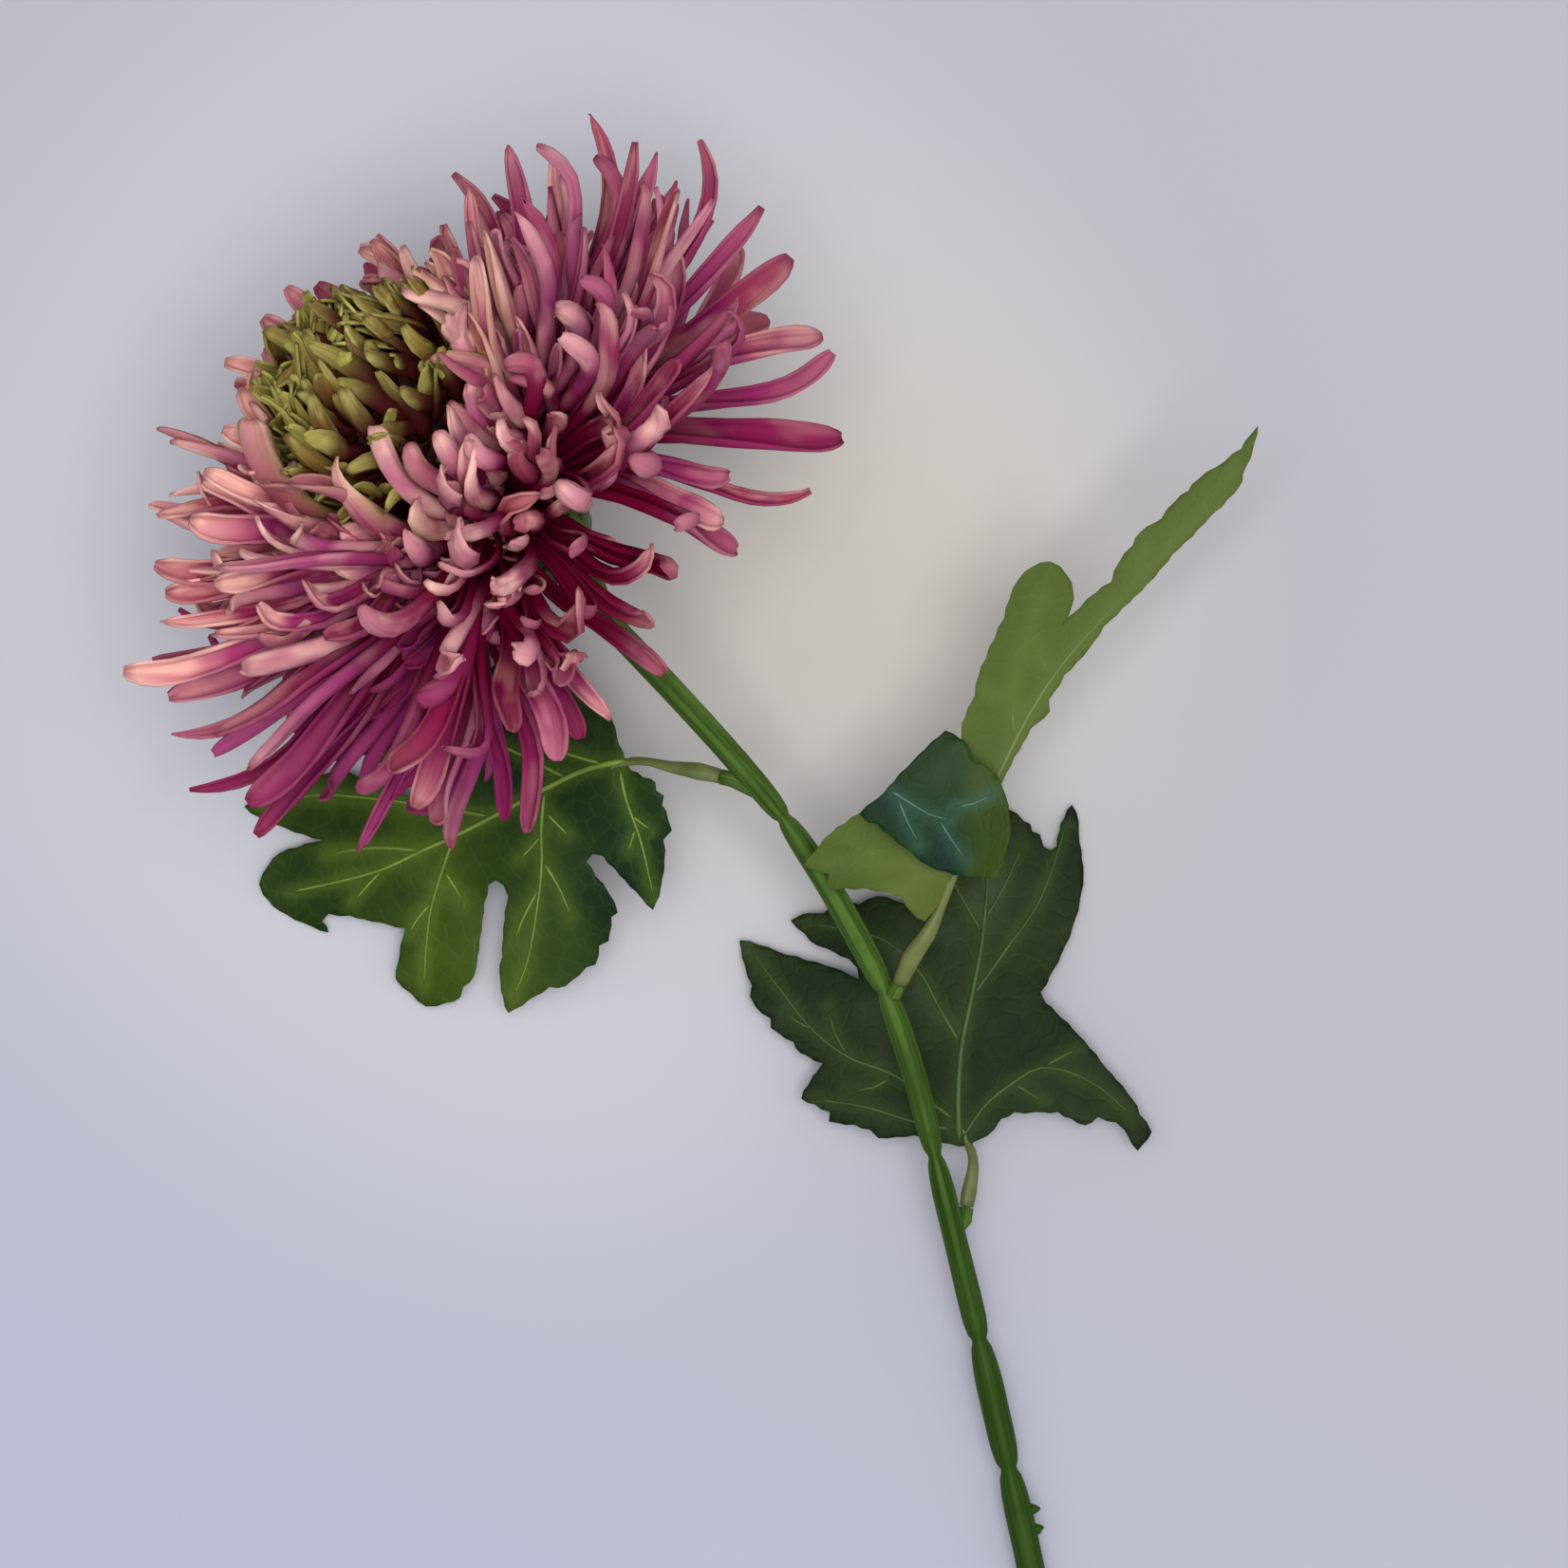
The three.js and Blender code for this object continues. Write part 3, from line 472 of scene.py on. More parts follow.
@dataclass(frozen=True)
class BladeFinish:
    """Leaf surface: mottled colour, paler beside the veins, glossy in patches."""

    name: str
    dark: Colour
    light: Colour
    vein: Colour
    roughness: float
    gloss: float
    vein_share: float = 0.5
    tinge: Colour = (0.0, 0.0, 0.0)
    clouds: float = 34.0
    stains: float = 90.0
    grain: float = 900.0
    net: float = 330.0
    bump: float = 0.0003

    def build(self) -> bpy.types.Material:
        """Makes the material.

        Returns:
            The finished material.
        """
        shader = Shader(self.name, Coat_Roughness=0.3, Specular_IOR_Level=0.07)
        near = shader.attribute("vein")
        clouds = shader.noise(self.clouds, 3)
        stains = shader.noise(self.stains, 4)
        grain = shader.noise(self.grain)
        net = shader.node("ShaderNodeTexVoronoi", {"feature": "DISTANCE_TO_EDGE"},
                          {"Vector": shader.place(), "Scale": self.net})
        lines = 1.0 - net.step(0.0, 0.14)
        colour = shader.blend(clouds.step(0.34, 0.66), self.dark, self.light)
        colour = shader.blend(stains.step(0.5, 0.75) * 0.4, colour, self.dark)
        colour = shader.blend(shader.attribute("tinge") * (0.5 + stains), colour, self.tinge)
        colour = shader.blend(near * self.vein_share + lines * 0.05, colour, self.vein)
        shader.feed("Base Color", colour)
        shader.feed("Coat Weight", clouds.step(0.5, 0.7) * self.gloss)
        shader.feed("Roughness", self.roughness + (stains - 0.5) * 0.2)
        shader.bump(grain * 0.25 - lines * 0.3 + clouds, self.bump, 0.7)
        return shader.material


@dataclass(frozen=True)
class StalkFinish:
    """Moulded green stalk with light ridges and darker furrows, as painted light and shade, and uneven bands
    along it.
    """

    name: str
    furrow: Colour
    ridge: Colour
    band: Colour
    deep: Colour
    roughness: float = 0.5
    bump: float = 0.0003

    def build(self) -> bpy.types.Material:
        """Makes the material.

        Returns:
            The finished material.
        """
        shader = Shader(self.name, Specular_IOR_Level=0.12)
        around, along = shader.attribute("around"), shader.attribute("along")
        streaks = shader.noise(1.0, 4, shader.vector(around * 16.0, along * 5.0))
        bands = shader.noise(1.0, 3, shader.vector(around * 1.2, along * 24.0, 4.0))
        height = shader.attribute("ridge")
        # painted light and shade: ridges lighter and furrows darker, mixed with random streaks
        colour = shader.blend((height * 0.22 + streaks).step(0.3, 0.95), self.furrow, self.ridge)
        colour = shader.blend(bands.step(0.5, 0.72) * 0.55, colour, self.band)
        colour = shader.blend(along.step(0.7, 1.7) * 0.7, colour, self.deep)
        shader.feed("Base Color", colour)
        shader.feed("Roughness", self.roughness + (streaks - 0.5) * 0.25)
        shader.bump(streaks, self.bump, 0.8)
        return shader.material


@dataclass(frozen=True)
class PlainFinish:
    """Even colour with a slight mottle, for cores, veins, leaf stalks and the cup."""

    name: str
    colour: Colour
    other: Colour
    roughness: float
    scale: float = 220.0

    def build(self) -> bpy.types.Material:
        """Makes the material.

        Returns:
            The finished material.
        """
        shader = Shader(self.name)
        clouds = shader.noise(self.scale, 3)
        shader.feed("Base Color", shader.blend(clouds.step(0.3, 0.7), self.colour, self.other))
        shader.feed("Roughness", self.roughness + (clouds - 0.5) * 0.1)
        return shader.material


@dataclass(frozen=True)
class TableFinish:
    """Matt table top, cool, with painted light on it: bluer low on the left as painted cool light, paler
    round the bloom as a painted pool of light over the bloom's shadow, and warmer right of it as painted
    warm light.
    """

    name: str
    cool: Colour
    # painted cool light low on the left
    blue: Colour
    # painted warm light right of the bloom
    painted_warm_light: Colour
    # painted pool of light round the bloom, over its shadow
    pale: Colour
    painted_warm_light_middle: Spot = (0.026, 0.146, 0.0)
    painted_warm_light_reach: tuple[float, float] = (0.0, 0.085)
    light_pool_middle: Spot = (-0.036, 0.146, 0.0)
    light_pool_reach: tuple[float, float] = (0.05, 0.142)
    cool_light_reach: tuple[float, float] = (-0.1, 0.55)

    def build(self) -> bpy.types.Material:
        """Makes the material.

        Returns:
            The finished material.
        """
        shader = Shader(self.name, Roughness=0.9, Specular_IOR_Level=0.2)
        # distances from the painted warm light and from the painted pool of light
        away, off = (shader.node("ShaderNodeVectorMath", {"operation": "DISTANCE"},
                                 {0: shader.place(), 1: middle}, "Value")
                     for middle in (self.painted_warm_light_middle, self.light_pool_middle))
        uneven = (shader.noise(5.0, 1) - 0.5) * 0.05
        spot = shader.place()
        right, up = (shader.node("ShaderNodeSeparateXYZ", {}, {0: spot}, axis) for axis in "XY")
        # share of the painted cool light, low on the left
        cool_light_share = (right * -1.6 - (up - 0.1) * 3.2).step(*self.cool_light_reach)
        ground = shader.blend(cool_light_share, self.cool, self.blue)
        # painted pool of light round the bloom, which hides the bloom's shadow on the table
        ground = shader.blend((off + uneven).step(*self.light_pool_reach), self.pale, ground)
        # painted warm light right of the bloom
        ground = shader.blend((away + uneven).step(*self.painted_warm_light_reach), self.painted_warm_light, ground)
        shader.feed("Base Color", ground)
        return shader.material


# Pieces


class Layer(Enum):
    """Numbers kept on the corners of a mesh for its material."""

    ALONG = "along"
    ACROSS = "across"
    AROUND = "around"
    RIDGE = "ridge"
    TINT = "tint"
    LATE = "late"
    # how far a floret's dark root and wine reach, partly painted shade
    DEEP = "deep"
    # a floret's share of pale salmon, partly painted light; a low share paints shade
    PALE = "pale"
    VEIN = "vein"
    TINGE = "tinge"


class Workpiece:
    """Mesh in the making, in drawing-frame millimetres, that ends as one named piece."""

    DOUBLES = 0.002

    def __init__(self, name: str, *layers: Layer) -> None:
        """Starts an empty piece.

        Args:
            name: Its name.
            layers: Numbers that its corners keep.
        """
        self.name = name
        self.bm = bmesh.new()
        self.layers = {layer: self.bm.verts.layers.float.new(layer.value) for layer in layers}

    def sheet(self, columns: int, rows: int) -> Iterator[tuple[bmesh.types.BMVert, float, int]]:
        """Adds a gridded sheet.

        Args:
            columns: Cells across it.
            rows: Cells along it.

        Yields:
            Each corner with its place across, from -1 to 1, and its row.
        """
        made = bmesh.ops.create_grid(self.bm, x_segments=columns, y_segments=rows, size=0.5)["verts"]
        for vert in made:
            yield vert, 2 * vert.co.x, round((vert.co.y + 0.5) * rows)

    def mark(self, vert: bmesh.types.BMVert, **values: float) -> None:
        """Stores numbers on a corner."""
        for key, value in values.items():
            vert[self.layers[Layer(key)]] = value

    def tube(self, stations: Sequence[Station], sides: int, radius: RadiusOf,
             **values: RadiusOf) -> None:
        """Adds a tube round a line, closed where its radius is 0.

        Args:
            stations: Stations of the line.
            sides: Faces round it.
            radius: Radius for a row and an angle.
            values: Numbers stored on its corners, for a row and an angle.
        """
        for vert, across, row in self.sheet(sides, len(stations) - 1):
            angle = -math.pi * across
            if Layer.AROUND in self.layers:
                self.mark(vert, around=0.5 + 0.5 * math.cos(angle))
            self.mark(vert, **{key: value(row, angle) for key, value in values.items()})
            vert.co = stations[row].around(angle, radius(row, angle))

    def turned(self, profile: Table, steps: int) -> None:
        """Adds a solid turned about the bloom's axis.

        Args:
            profile: Pairs of a radius and a height over the bloom's middle, from axis to axis.
            steps: Faces round it.
        """
        line = [self.bm.verts.new((radius, 0, height)) for radius, height in profile]
        edges = [self.bm.edges.new(pair) for pair in zip(line, line[1:])]
        bmesh.ops.spin(self.bm, geom=line + edges, cent=(0, 0, 0), axis=(0, 0, 1),
                       angle=2 * math.pi, steps=steps, use_merge=True)
        bmesh.ops.transform(self.bm, matrix=BLOOM.matrix(), verts=self.bm.verts)

    def close(self) -> None:
        """Merges doubled corners and turns the faces outwards."""
        bmesh.ops.remove_doubles(self.bm, verts=self.bm.verts, dist=self.DOUBLES)
        bmesh.ops.recalc_face_normals(self.bm, faces=self.bm.faces)

    def finish(self, materials: Sequence[bpy.types.Material], slot: str,
               *nodes: str) -> bpy.types.Object:
        """Makes the piece and places it in the frame.

        Args:
            materials: Its materials, in slot order.
            slot: Not used.
            nodes: CAD nodes that it stands for.

        Returns:
            The finished object.
        """
        for vert in self.bm.verts:
            vert.co.z = max(vert.co.z, TABLE_LIFT)
            vert.co = to_row(vert.co)
        mesh = bpy.data.meshes.new(self.name)
        self.bm.to_mesh(mesh)
        self.bm.free()
        for material in materials:
            mesh.materials.append(material)
        mesh.shade_smooth()
        piece = bpy.data.objects.new(self.name, mesh)
        bpy.context.scene.collection.objects.link(piece)
        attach(piece, "root")
        if nodes:
            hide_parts(*nodes)
        log.info("%s: %d faces", self.name, len(mesh.polygons))
        return piece


# Bloom


@dataclass(frozen=True)
class BloomFrame:
    """Middle, axis and sideways directions of the tilted bloom."""

    pixel: Pixel = (545, 545)
    height: float = 56
    tilt: float = 32
    heading: Pixel = (-0.77, 0.64)

    def __post_init__(self) -> None:
        """Works out the directions once."""
        level = Vector((*self.heading, 0)).normalized()
        tilt = math.radians(self.tilt)
        axis = level * math.cos(tilt) + Vector((0, 0, math.sin(tilt)))
        right = Vector((level.y, -level.x, 0))
        for key, value in (("middle", from_photo(self.pixel, self.height)), ("axis", axis),
                           ("right", right), ("up", right.cross(axis))):
            object.__setattr__(self, key, value)

    def direction(self, polar: float, azimuth: float) -> Vector:
        """Direction from the bloom's middle.

        Args:
            polar: Angle from the axis, in degrees.
            azimuth: Angle about the axis from the right, in degrees.

        Returns:
            The direction.
        """
        across, turn = math.sin(math.radians(polar)), math.radians(azimuth)
        return (self.axis * math.cos(math.radians(polar)) + self.right * (across * math.cos(turn))
                + self.up * (across * math.sin(turn)))

    def along_axis(self, height: float) -> Vector:
        """Point on the axis at a height over the middle."""
        return self.middle + self.axis * height

    def matrix(self) -> Matrix:
        """Turns and moves an upright solid onto the axis."""
        turn = UP.rotation_difference(self.axis).to_matrix().to_4x4()
        return Matrix.Translation(self.middle) @ turn


BLOOM = BloomFrame()

SIDE_REACH: Table = ((20, 50), (30, 56), (42, 63), (56, 67), (75, 68), (90, 65), (110, 60), (130, 54))
TABLE_REACH: Table = ((20, 50), (30, 50), (45, 52), (60, 57), (75, 62), (90, 64), (110, 62), (130, 50))
CAMERA_REACH: Table = ((20, 46), (35, 44), (45, 44), (60, 43), (80, 39), (100, 33), (120, 26), (130, 24))


def sector_weight(azimuth: float, middle: float, inner: float, outer: float) -> float:
    """Weight of an azimuth in a sector: full within the inner angle, none past the outer one."""
    away = abs((azimuth - middle + 540) % 360 - 180)
    return 1 - smooth(away, inner, outer)


def camera_weight(azimuth: float) -> float:
    """Weight of the sector whose short curled florets face up."""
    return sector_weight(azimuth, 90, 22, 62)


def reach_at(polar: float, azimuth: float) -> float:
    """Distance of the ray tips from the bloom's middle.

    Args:
        polar: Angle from the axis.
        azimuth: Angle about it.

    Returns:
        The distance in millimetres.
    """
    camera = camera_weight(azimuth)
    table = sector_weight(azimuth, 270, 30, 75)
    return ((1 - camera - table) * look_up(SIDE_REACH, polar) + camera * look_up(CAMERA_REACH, polar)
            + table * look_up(TABLE_REACH, polar))


@dataclass(frozen=True)
class Floret:
    """One ray floret: where its tip is and how it gets there."""

    whorl: float
    azimuth: float
    polar: float
    reach: float
    launch: float
    lean: float
    swing: float
    twist: float
    width: float
    pointed: bool
    tint: float
    late: float

    ROOT_HEIGHTS = (1.6, 12.4)
    ROOT_RADII = (11.6, 9.2)

    def controls(self) -> list[Vector]:
        """Control points of its free line.

        Returns:
            Four points from the root to the tip.
        """
        root = (BLOOM.along_axis(mix(*self.ROOT_HEIGHTS, self.whorl))
                + BLOOM.direction(90, self.azimuth) * mix(*self.ROOT_RADII, self.whorl))
        tip = BLOOM.middle + BLOOM.direction(self.polar, self.azimuth) * self.reach
        span = (tip - root).length
        first = root + BLOOM.direction(self.polar + self.launch, self.azimuth - self.swing) * (0.4 * span)
        second = tip - BLOOM.direction(self.polar - self.lean, self.azimuth + self.swing) * (0.36 * span)
        return [root, first, second, tip]


@dataclass(frozen=True)
class BladeShape:
    """Strip width and roll of a floret from its root to its tip, in millimetres and degrees."""

    widths: Table
    rolls: Table

    def section(self, at: float, across: float, scale: float, curl: float) -> tuple[float, float]:
        """Offsets of a point of the rolled strip.

        Args:
            at: Place along the floret, from 0 to 1.
            across: Place across it, from -1 to 1.
            scale: Width factor of this floret.
            curl: Roll factor of this floret.

        Returns:
            Sideways and normal offsets.
        """
        roll = math.radians(look_up(self.rolls, at)) * curl
        radius = look_up(self.widths, at) * scale / roll
        angle = 0.5 * roll * across
        return radius * math.sin(angle), radius * (1 - math.cos(angle))


ROUND_BLADE = BladeShape(
    ((0, 4.6), (0.28, 6.8), (0.55, 7.2), (0.74, 6.7), (0.86, 5.7), (0.93, 4.7), (0.975, 3.3), (1, 1.2)),
    ((0, 300), (0.28, 280), (0.55, 250), (0.74, 212), (0.88, 175), (1, 120)),
)
POINTED_BLADE = BladeShape(
    ((0, 4.6), (0.28, 5.9), (0.55, 6.4), (0.74, 5.6), (0.9, 3.4), (1, 0.5)),
    ((0, 300), (0.28, 285), (0.55, 255), (0.78, 210), (1, 130)),
)
CENTRE_BLADE = BladeShape(
    ((0, 2.4), (0.35, 4.4), (0.62, 5.2), (0.84, 4.4), (0.95, 2.8), (1, 0.9)),
    ((0, 150), (0.35, 150), (0.68, 130), (1, 100)),
)


@dataclass(frozen=True)
class Habit:
    """How one floret departs from its smooth line and from its neighbours' colours."""

    twist: float
    scale: float
    tint: float
    late: float
    # reach of the dark root and wine colour, partly painted shade
    deep: float
    # share of pale salmon, partly painted light; a low share paints shade
    pale: float
    wave: float
    curl: float
    turn: float
    start: float

    @property
    def phase(self) -> float:
        """Where its waves start, in radians."""
        return 40 * self.tint

    @property
    def opening(self) -> float:
        """Roll factor that makes it wider or narrower open than its neighbours."""
        return 0.94 + 0.34 * ((self.tint * 7.3) % 1)


@dataclass
class FloretField:
    """Florets swept into one thin piece, each along the line that its rule gives."""

    name: str
    slot: str
    columns: int
    rows: int
    thickness: float = 0.45
    row_ease: float = 1.6
    least_curl: float = 3
    hollow: float = 0.8
    ruffle: float = 0.3
    unevenness: float = 0.14
    piece: Workpiece = field(init=False)

    def __post_init__(self) -> None:
        """Starts the mesh."""
        self.piece = Workpiece(
            self.name, Layer.ALONG, Layer.ACROSS, Layer.TINT, Layer.LATE, Layer.DEEP, Layer.PALE)

    def _bent(self, points: Sequence[Vector], shares: Sequence[float], reference: Vector,
              habit: Habit) -> list[Vector]:
        """Gives a line its waves and rolls up its end.

        Args:
            points: Points of the smooth line.
            shares: Their places along it, from 0 to 1.
            reference: Sideways direction of the floret.
            habit: How far it waves and curls.

        Returns:
            The bent points.
        """
        waved = []
        for station, share in zip(stations_along(points, reference), shares):
            swing = habit.wave * share
            waved.append(station.offset(swing * math.sin(6 * share + habit.phase),
                                        0.7 * swing * math.sin(7 * share + 2 * habit.phase)))
        if habit.curl < self.least_curl:
            return waved
        first = next(row for row, share in enumerate(shares) if share >= habit.start)
        lengths = [(after - before).length for before, after in zip(waved[first:], waved[first + 1:])]
        bend, turn = math.radians(habit.curl), math.radians(habit.turn)
        radius = sum(lengths) / bend
        station = stations_along(waved, reference)[first]
        ahead = station.side.cross(station.normal)
        aside = station.side * math.sin(turn) + station.normal * math.cos(turn)
        for step in range(1, len(lengths) + 1):
            angle = sum(lengths[:step]) / radius
            waved[first + step] = (station.point + ahead * (radius * math.sin(angle))
                                   + aside * (radius * (1 - math.cos(angle))))
        return waved

    def add(self, line: Callable[[float], Vector], azimuth: float, shape: BladeShape,
            habit: Habit) -> None:
        """Adds one floret.

        Args:
            line: Point of its line at a share of its length.
            azimuth: Its azimuth on the bloom.
            shape: Its cross-sections.
            habit: Its twist, size, colour and bends.
        """
        shares = [1 - (1 - row / self.rows) ** self.row_ease for row in range(self.rows + 1)]
        twists = [math.radians(habit.twist) * share for share in shares]
        reference = BLOOM.direction(90, azimuth - 90)
        points = self._bent([line(share) for share in shares], shares, reference, habit)
        stations = stations_along(points, reference, twists)
        for vert, across, row in self.piece.sheet(self.columns, self.rows):
            share = shares[row]
            side, up = shape.section(share, -across, habit.scale, habit.opening)
            up = self.hollow * up + self.ruffle * across * across * math.sin(9 * share + habit.phase) * share
            side *= 1 + self.unevenness * math.sin(13 * share + 2 * habit.phase + 2 * across)
            vert.co = stations[row].offset(side, up)
            self.piece.mark(vert, along=share, across=across, tint=habit.tint, late=habit.late,
                            deep=habit.deep, pale=habit.pale)

    def finish(self, face: FloretFinish, reverse: FloretFinish) -> None:
        """Dresses the piece, which stands for the CAD node of its slot's name.

        Args:
            face: Finish of the side towards the middle of the bloom.
            reverse: Finish of the outer side, which the thickness adds.
        """
        for vert in self.piece.bm.verts:
            vert.co.z = max(vert.co.z, TABLE_LIFT + self.thickness)
        made = self.piece.finish([face.build(), reverse.build()], self.slot, self.slot)
        wall = made.modifiers.new("thickness", "SOLIDIFY")
        wall.thickness = self.thickness * MM
        wall.offset = -1
        wall.material_offset = 1
        wall.material_offset_rim = 0


def make_core(name: str, node: str, profile: Table, steps: int, heart: PlainFinish) -> None:
    """Makes the core that a head's florets stand in.

    Args:
        name: Name of the piece.
        node: CAD node that it stands for with the florets.
        profile: Pairs of a radius and a height over the bloom's middle.
        steps: Faces round it.
        heart: Its finish.
    """
    core = Workpiece(name)
    core.turned(profile, steps)
    core.close()
    core.finish([heart.build()], node, node)


@dataclass
class RayHead:
    """Mauve-pink ray florets round the bloom and the dark core, dark as painted shade, that holds their
    roots.
    """

    stem: SmoothLine
    under: "Leaf"
    seed: int = 5
    count: int = 128
    filler_seed: int = 23
    filler_count: int = 620
    filler_turn: float = 40
    curl_seed: int = 41
    curl_count: int = 26
    polars: tuple[float, float] = (126, 24)
    centre_room: float = 2.2
    stem_room: float = 7
    leaf_room: float = 3
    leaf_span: tuple[float, float] = (-6, 70)
    leaf_half_width: float = 38
    stem_side: float = -3
    stem_marks: tuple[float, ...] = (0, 8, 16, 26, 40, 55)
    core: Table = ((0, -1), (11.5, -1), (13.6, 2), (13, 7), (11.6, 11.5), (9.4, 15), (0, 16))
    singles: tuple[tuple[Pixel | float, ...], ...] = (
        ((887, 462), 52, -8, 2, 1.5, -12), ((868, 353), 60, -24, 0, 1.35, -10),
        ((875, 370), 44, 34, 4, 0.95, -14), ((852, 514), 48, 29, -7, 0.8, -23),
        ((775, 582), 42, -12, 4, 1.3, -8), ((764, 552), 55, -18, -8, 1.25, -26),
        ((656, 592), 70, -50, 6, 0.95), ((702, 708), 47, 4, -4, 0.95, -18),
        ((644, 759), 60, 10, -14, 0.85, -18), ((612, 778), 52, 6, 4, 1, -18),
        ((585, 802), 64, -12, 12, 1.25), ((530, 865), 58, 4, -12, 0.9), ((437, 846), 84, 4, 4, 1.3),
        ((376, 898), 66, 6, 10, 0.85), ((270, 880), 56, 8, 6, 0.9), ((180, 775), 62, 36, -8, 0.89),
        ((131, 706), 66, 22, 8, 1.35), ((167, 594), 72, 24, -8, 1.05), ((537, 153), 66, 16, 0, 1.4),
        ((625, 120), 58, 46, 4, 0.85), ((740, 147), 62, 58, 8, 1.05), ((801, 217), 56, 6, 4, 1.3),
        ((829, 267), 66, 4, 6, 1.25), ((611, 300), 94, 105, 0, 1.1), ((594, 351), 99, 70, 30, 0.95),
        ((531, 382), 98, 120, -10, 1.05), ((498, 456), 97, 110, 30, 0.95), ((452, 460), 98, 50, 10, 1.1),
        ((458, 512), 96, 40, -10, 1), ((640, 492), 86, 70, -20, 0.9), ((570, 476), 95, 60, -30, 0.95),
        ((621, 527), 82, 30, 10, 1), ((533, 572), 90, 50, 20, 0.95), ((811, 333), 50, -12, 0, 1.45, 10),
        ((748, 230), 52, 0, 4, 1), ((768, 502), 62, -20, 0, 1.15, -22), ((672, 150), 60, 10, -4, 1),
        ((692, 160), 56, 6, 0, 1.1), ((713, 190), 58, 6, 0, 1.2), ((463, 238), 60, 6, 0, 1.15),
        ((588, 163), 64, 16, 2, 1.35), ((480, 181), 60, 44, 0, 0.89), ((305, 300), 60, 10, 0, 1.05),
        ((274, 341), 64, 12, 6, 1.3), ((266, 392), 70, 6, -6, 1), ((234, 453), 74, 10, 4, 1.2),
        ((394, 251), 58, 8, 0, 1.25), ((214, 498), 76, 14, 4, 1.1), ((203, 546), 74, 14, -2, 1.5),
        ((177, 623), 70, 10, -2, 1.3), ((168, 653), 68, 30, 0, 0.89), ((178, 736), 60, 20, 0, 1.3),
        ((200, 836), 60, 36, -4, 0.89), ((262, 846), 64, 10, 0, 1.4),
    )
    olive_singles: dict[int, float] = field(default_factory=lambda: {39: 0.4, 44: 0.7, 45: 1, 46: 0.6})
    pointed_above: float = 260
    pointed_width: float = 0.9
    left_out: tuple[int, ...] = (0, 3, 5, 6, 8, 11, 13, 16, 21, 24, 29, 32, 37, 45)
    shortened: dict[int, float] = field(default_factory=lambda: {
        42: 0.76, 55: 0.93, 59: 0.74, 68: 0.95, 75: 0.9, 80: 0.8, 81: 0.84, 85: 0.84, 88: 0.84,
        93: 0.92, 101: 0.88, 102: 0.92, 107: 0.94, 114: 0.86, 122: 0.82})
    # root, shadow and wine colours are partly painted shade; the share of the tip colour is partly painted
    # light
    face: FloretFinish = FloretFinish(
        "ray_floret_face", shade(104, 2, 38), shade(154, 32, 76), shade(184, 64, 122),
        shade(118, 20, 86), shade(248, 188, 176), shade(172, 152, 76), shade(136, 18, 50), 0.66, 0.1)
    reverse: FloretFinish = FloretFinish(
        "ray_floret_reverse", shade(108, 4, 44), shade(160, 42, 90), shade(190, 76, 134),
        shade(124, 26, 94), shade(250, 196, 184), shade(178, 160, 84), shade(150, 34, 68), 0.6, 0.12)
    # core dark wine like the shade between the florets: painted shade
    heart: PlainFinish = PlainFinish("ray_core", shade(86, 8, 42), shade(104, 16, 48), 0.9)

    def _rule(self, number: int, count: int, dice: Dice) -> Floret:
        """Floret of the seeded rule, as in the part's source.

        Args:
            number: Its place in the spiral.
            count: Florets in the spiral.
            dice: Random numbers.

        Returns:
            The floret.
        """
        whorl = number / (count - 1)
        a, b, c, d, e, f, g, h = (dice.roll() for _ in range(8))
        azimuth = (number * GOLDEN_ANGLE + 16 * (a - 0.5)) % 360
        polar = mix(*self.polars, whorl ** 0.95) + 16 * (b - 0.5)
        camera = camera_weight(azimuth)
        raised = polar - camera * 0.17 * (polar - self.polars[1])
        hooked = h < 0.12 + 0.4 * camera
        reach = reach_at(raised, azimuth) * (0.8 + 0.2 * math.sqrt(c)) * (0.9 if hooked else 1)
        pointed_share = 0.3 + 0.35 * sector_weight(azimuth, 0, 40, 70)
        return Floret(
            whorl, azimuth, raised, reach, launch=10 + 14 * d + 12 * whorl,
            lean=70 + 50 * e if hooked else 34 * e - 6, swing=30 * (f - 0.5), twist=170 * (g - 0.5),
            width=0.86 + 0.3 * d, pointed=c < pointed_share, tint=(a + e) % 1,
            late=smooth(whorl, 0.76, 0.98) * (1 if h > 0.4 else 0.2))

    def _filler(self, number: int, dice: Dice) -> Floret:
        """Shorter floret between the others.

        Args:
            number: Its place in the spiral.
            dice: Random numbers.

        Returns:
            The floret.
        """
        base = self._rule(number, self.filler_count, dice)
        azimuth = base.azimuth + self.filler_turn
        low = 1 - 0.25 * camera_weight(azimuth)
        reach = base.reach * (0.68 + 0.32 * dice.roll()) * low
        return replace(base, azimuth=azimuth, polar=base.polar - 4, reach=reach,
                       swing=base.swing * 1.6, width=base.width * 0.92)

    def _in_gap(self, floret: Floret) -> bool:
        """Whether a short floret would close the open side by the stem or crowd the near side.

        Args:
            floret: The floret.

        Returns:
            True where it is left out.
        """
        thrown_back = sector_weight(floret.azimuth, 18, 30, 50) > 0.3 and floret.polar > 84
        beside_stem = sector_weight(floret.azimuth, 82, 26, 44) > 0.3 and floret.polar > 74
        crowding = camera_weight(floret.azimuth) > 0.4 and floret.tint > 0.45
        return thrown_back or beside_stem or crowding

    def _curl(self, number: int, dice: Dice) -> Floret:
        """Short curled floret on the side that faces up.

        Args:
            number: Its place among them.
            dice: Random numbers.

        Returns:
            The floret.
        """
        whorl = (number + 0.5) / self.curl_count
        polar = mix(112, 34, whorl) + dice.spread(20)
        return Floret(
            mix(0.15, 1, whorl), 90 + dice.spread(120), polar,
            reach_at(polar, 90) * (0.95 + 0.25 * dice.roll()),
            launch=10 + 30 * dice.roll(), lean=50 + 80 * dice.roll(), swing=dice.spread(90),
            twist=dice.spread(240), width=1 + 0.35 * dice.roll(), pointed=dice.roll() < 0.25,
            tint=dice.roll(), late=0.6 * smooth(whorl, 0.7, 1.0) * dice.roll())

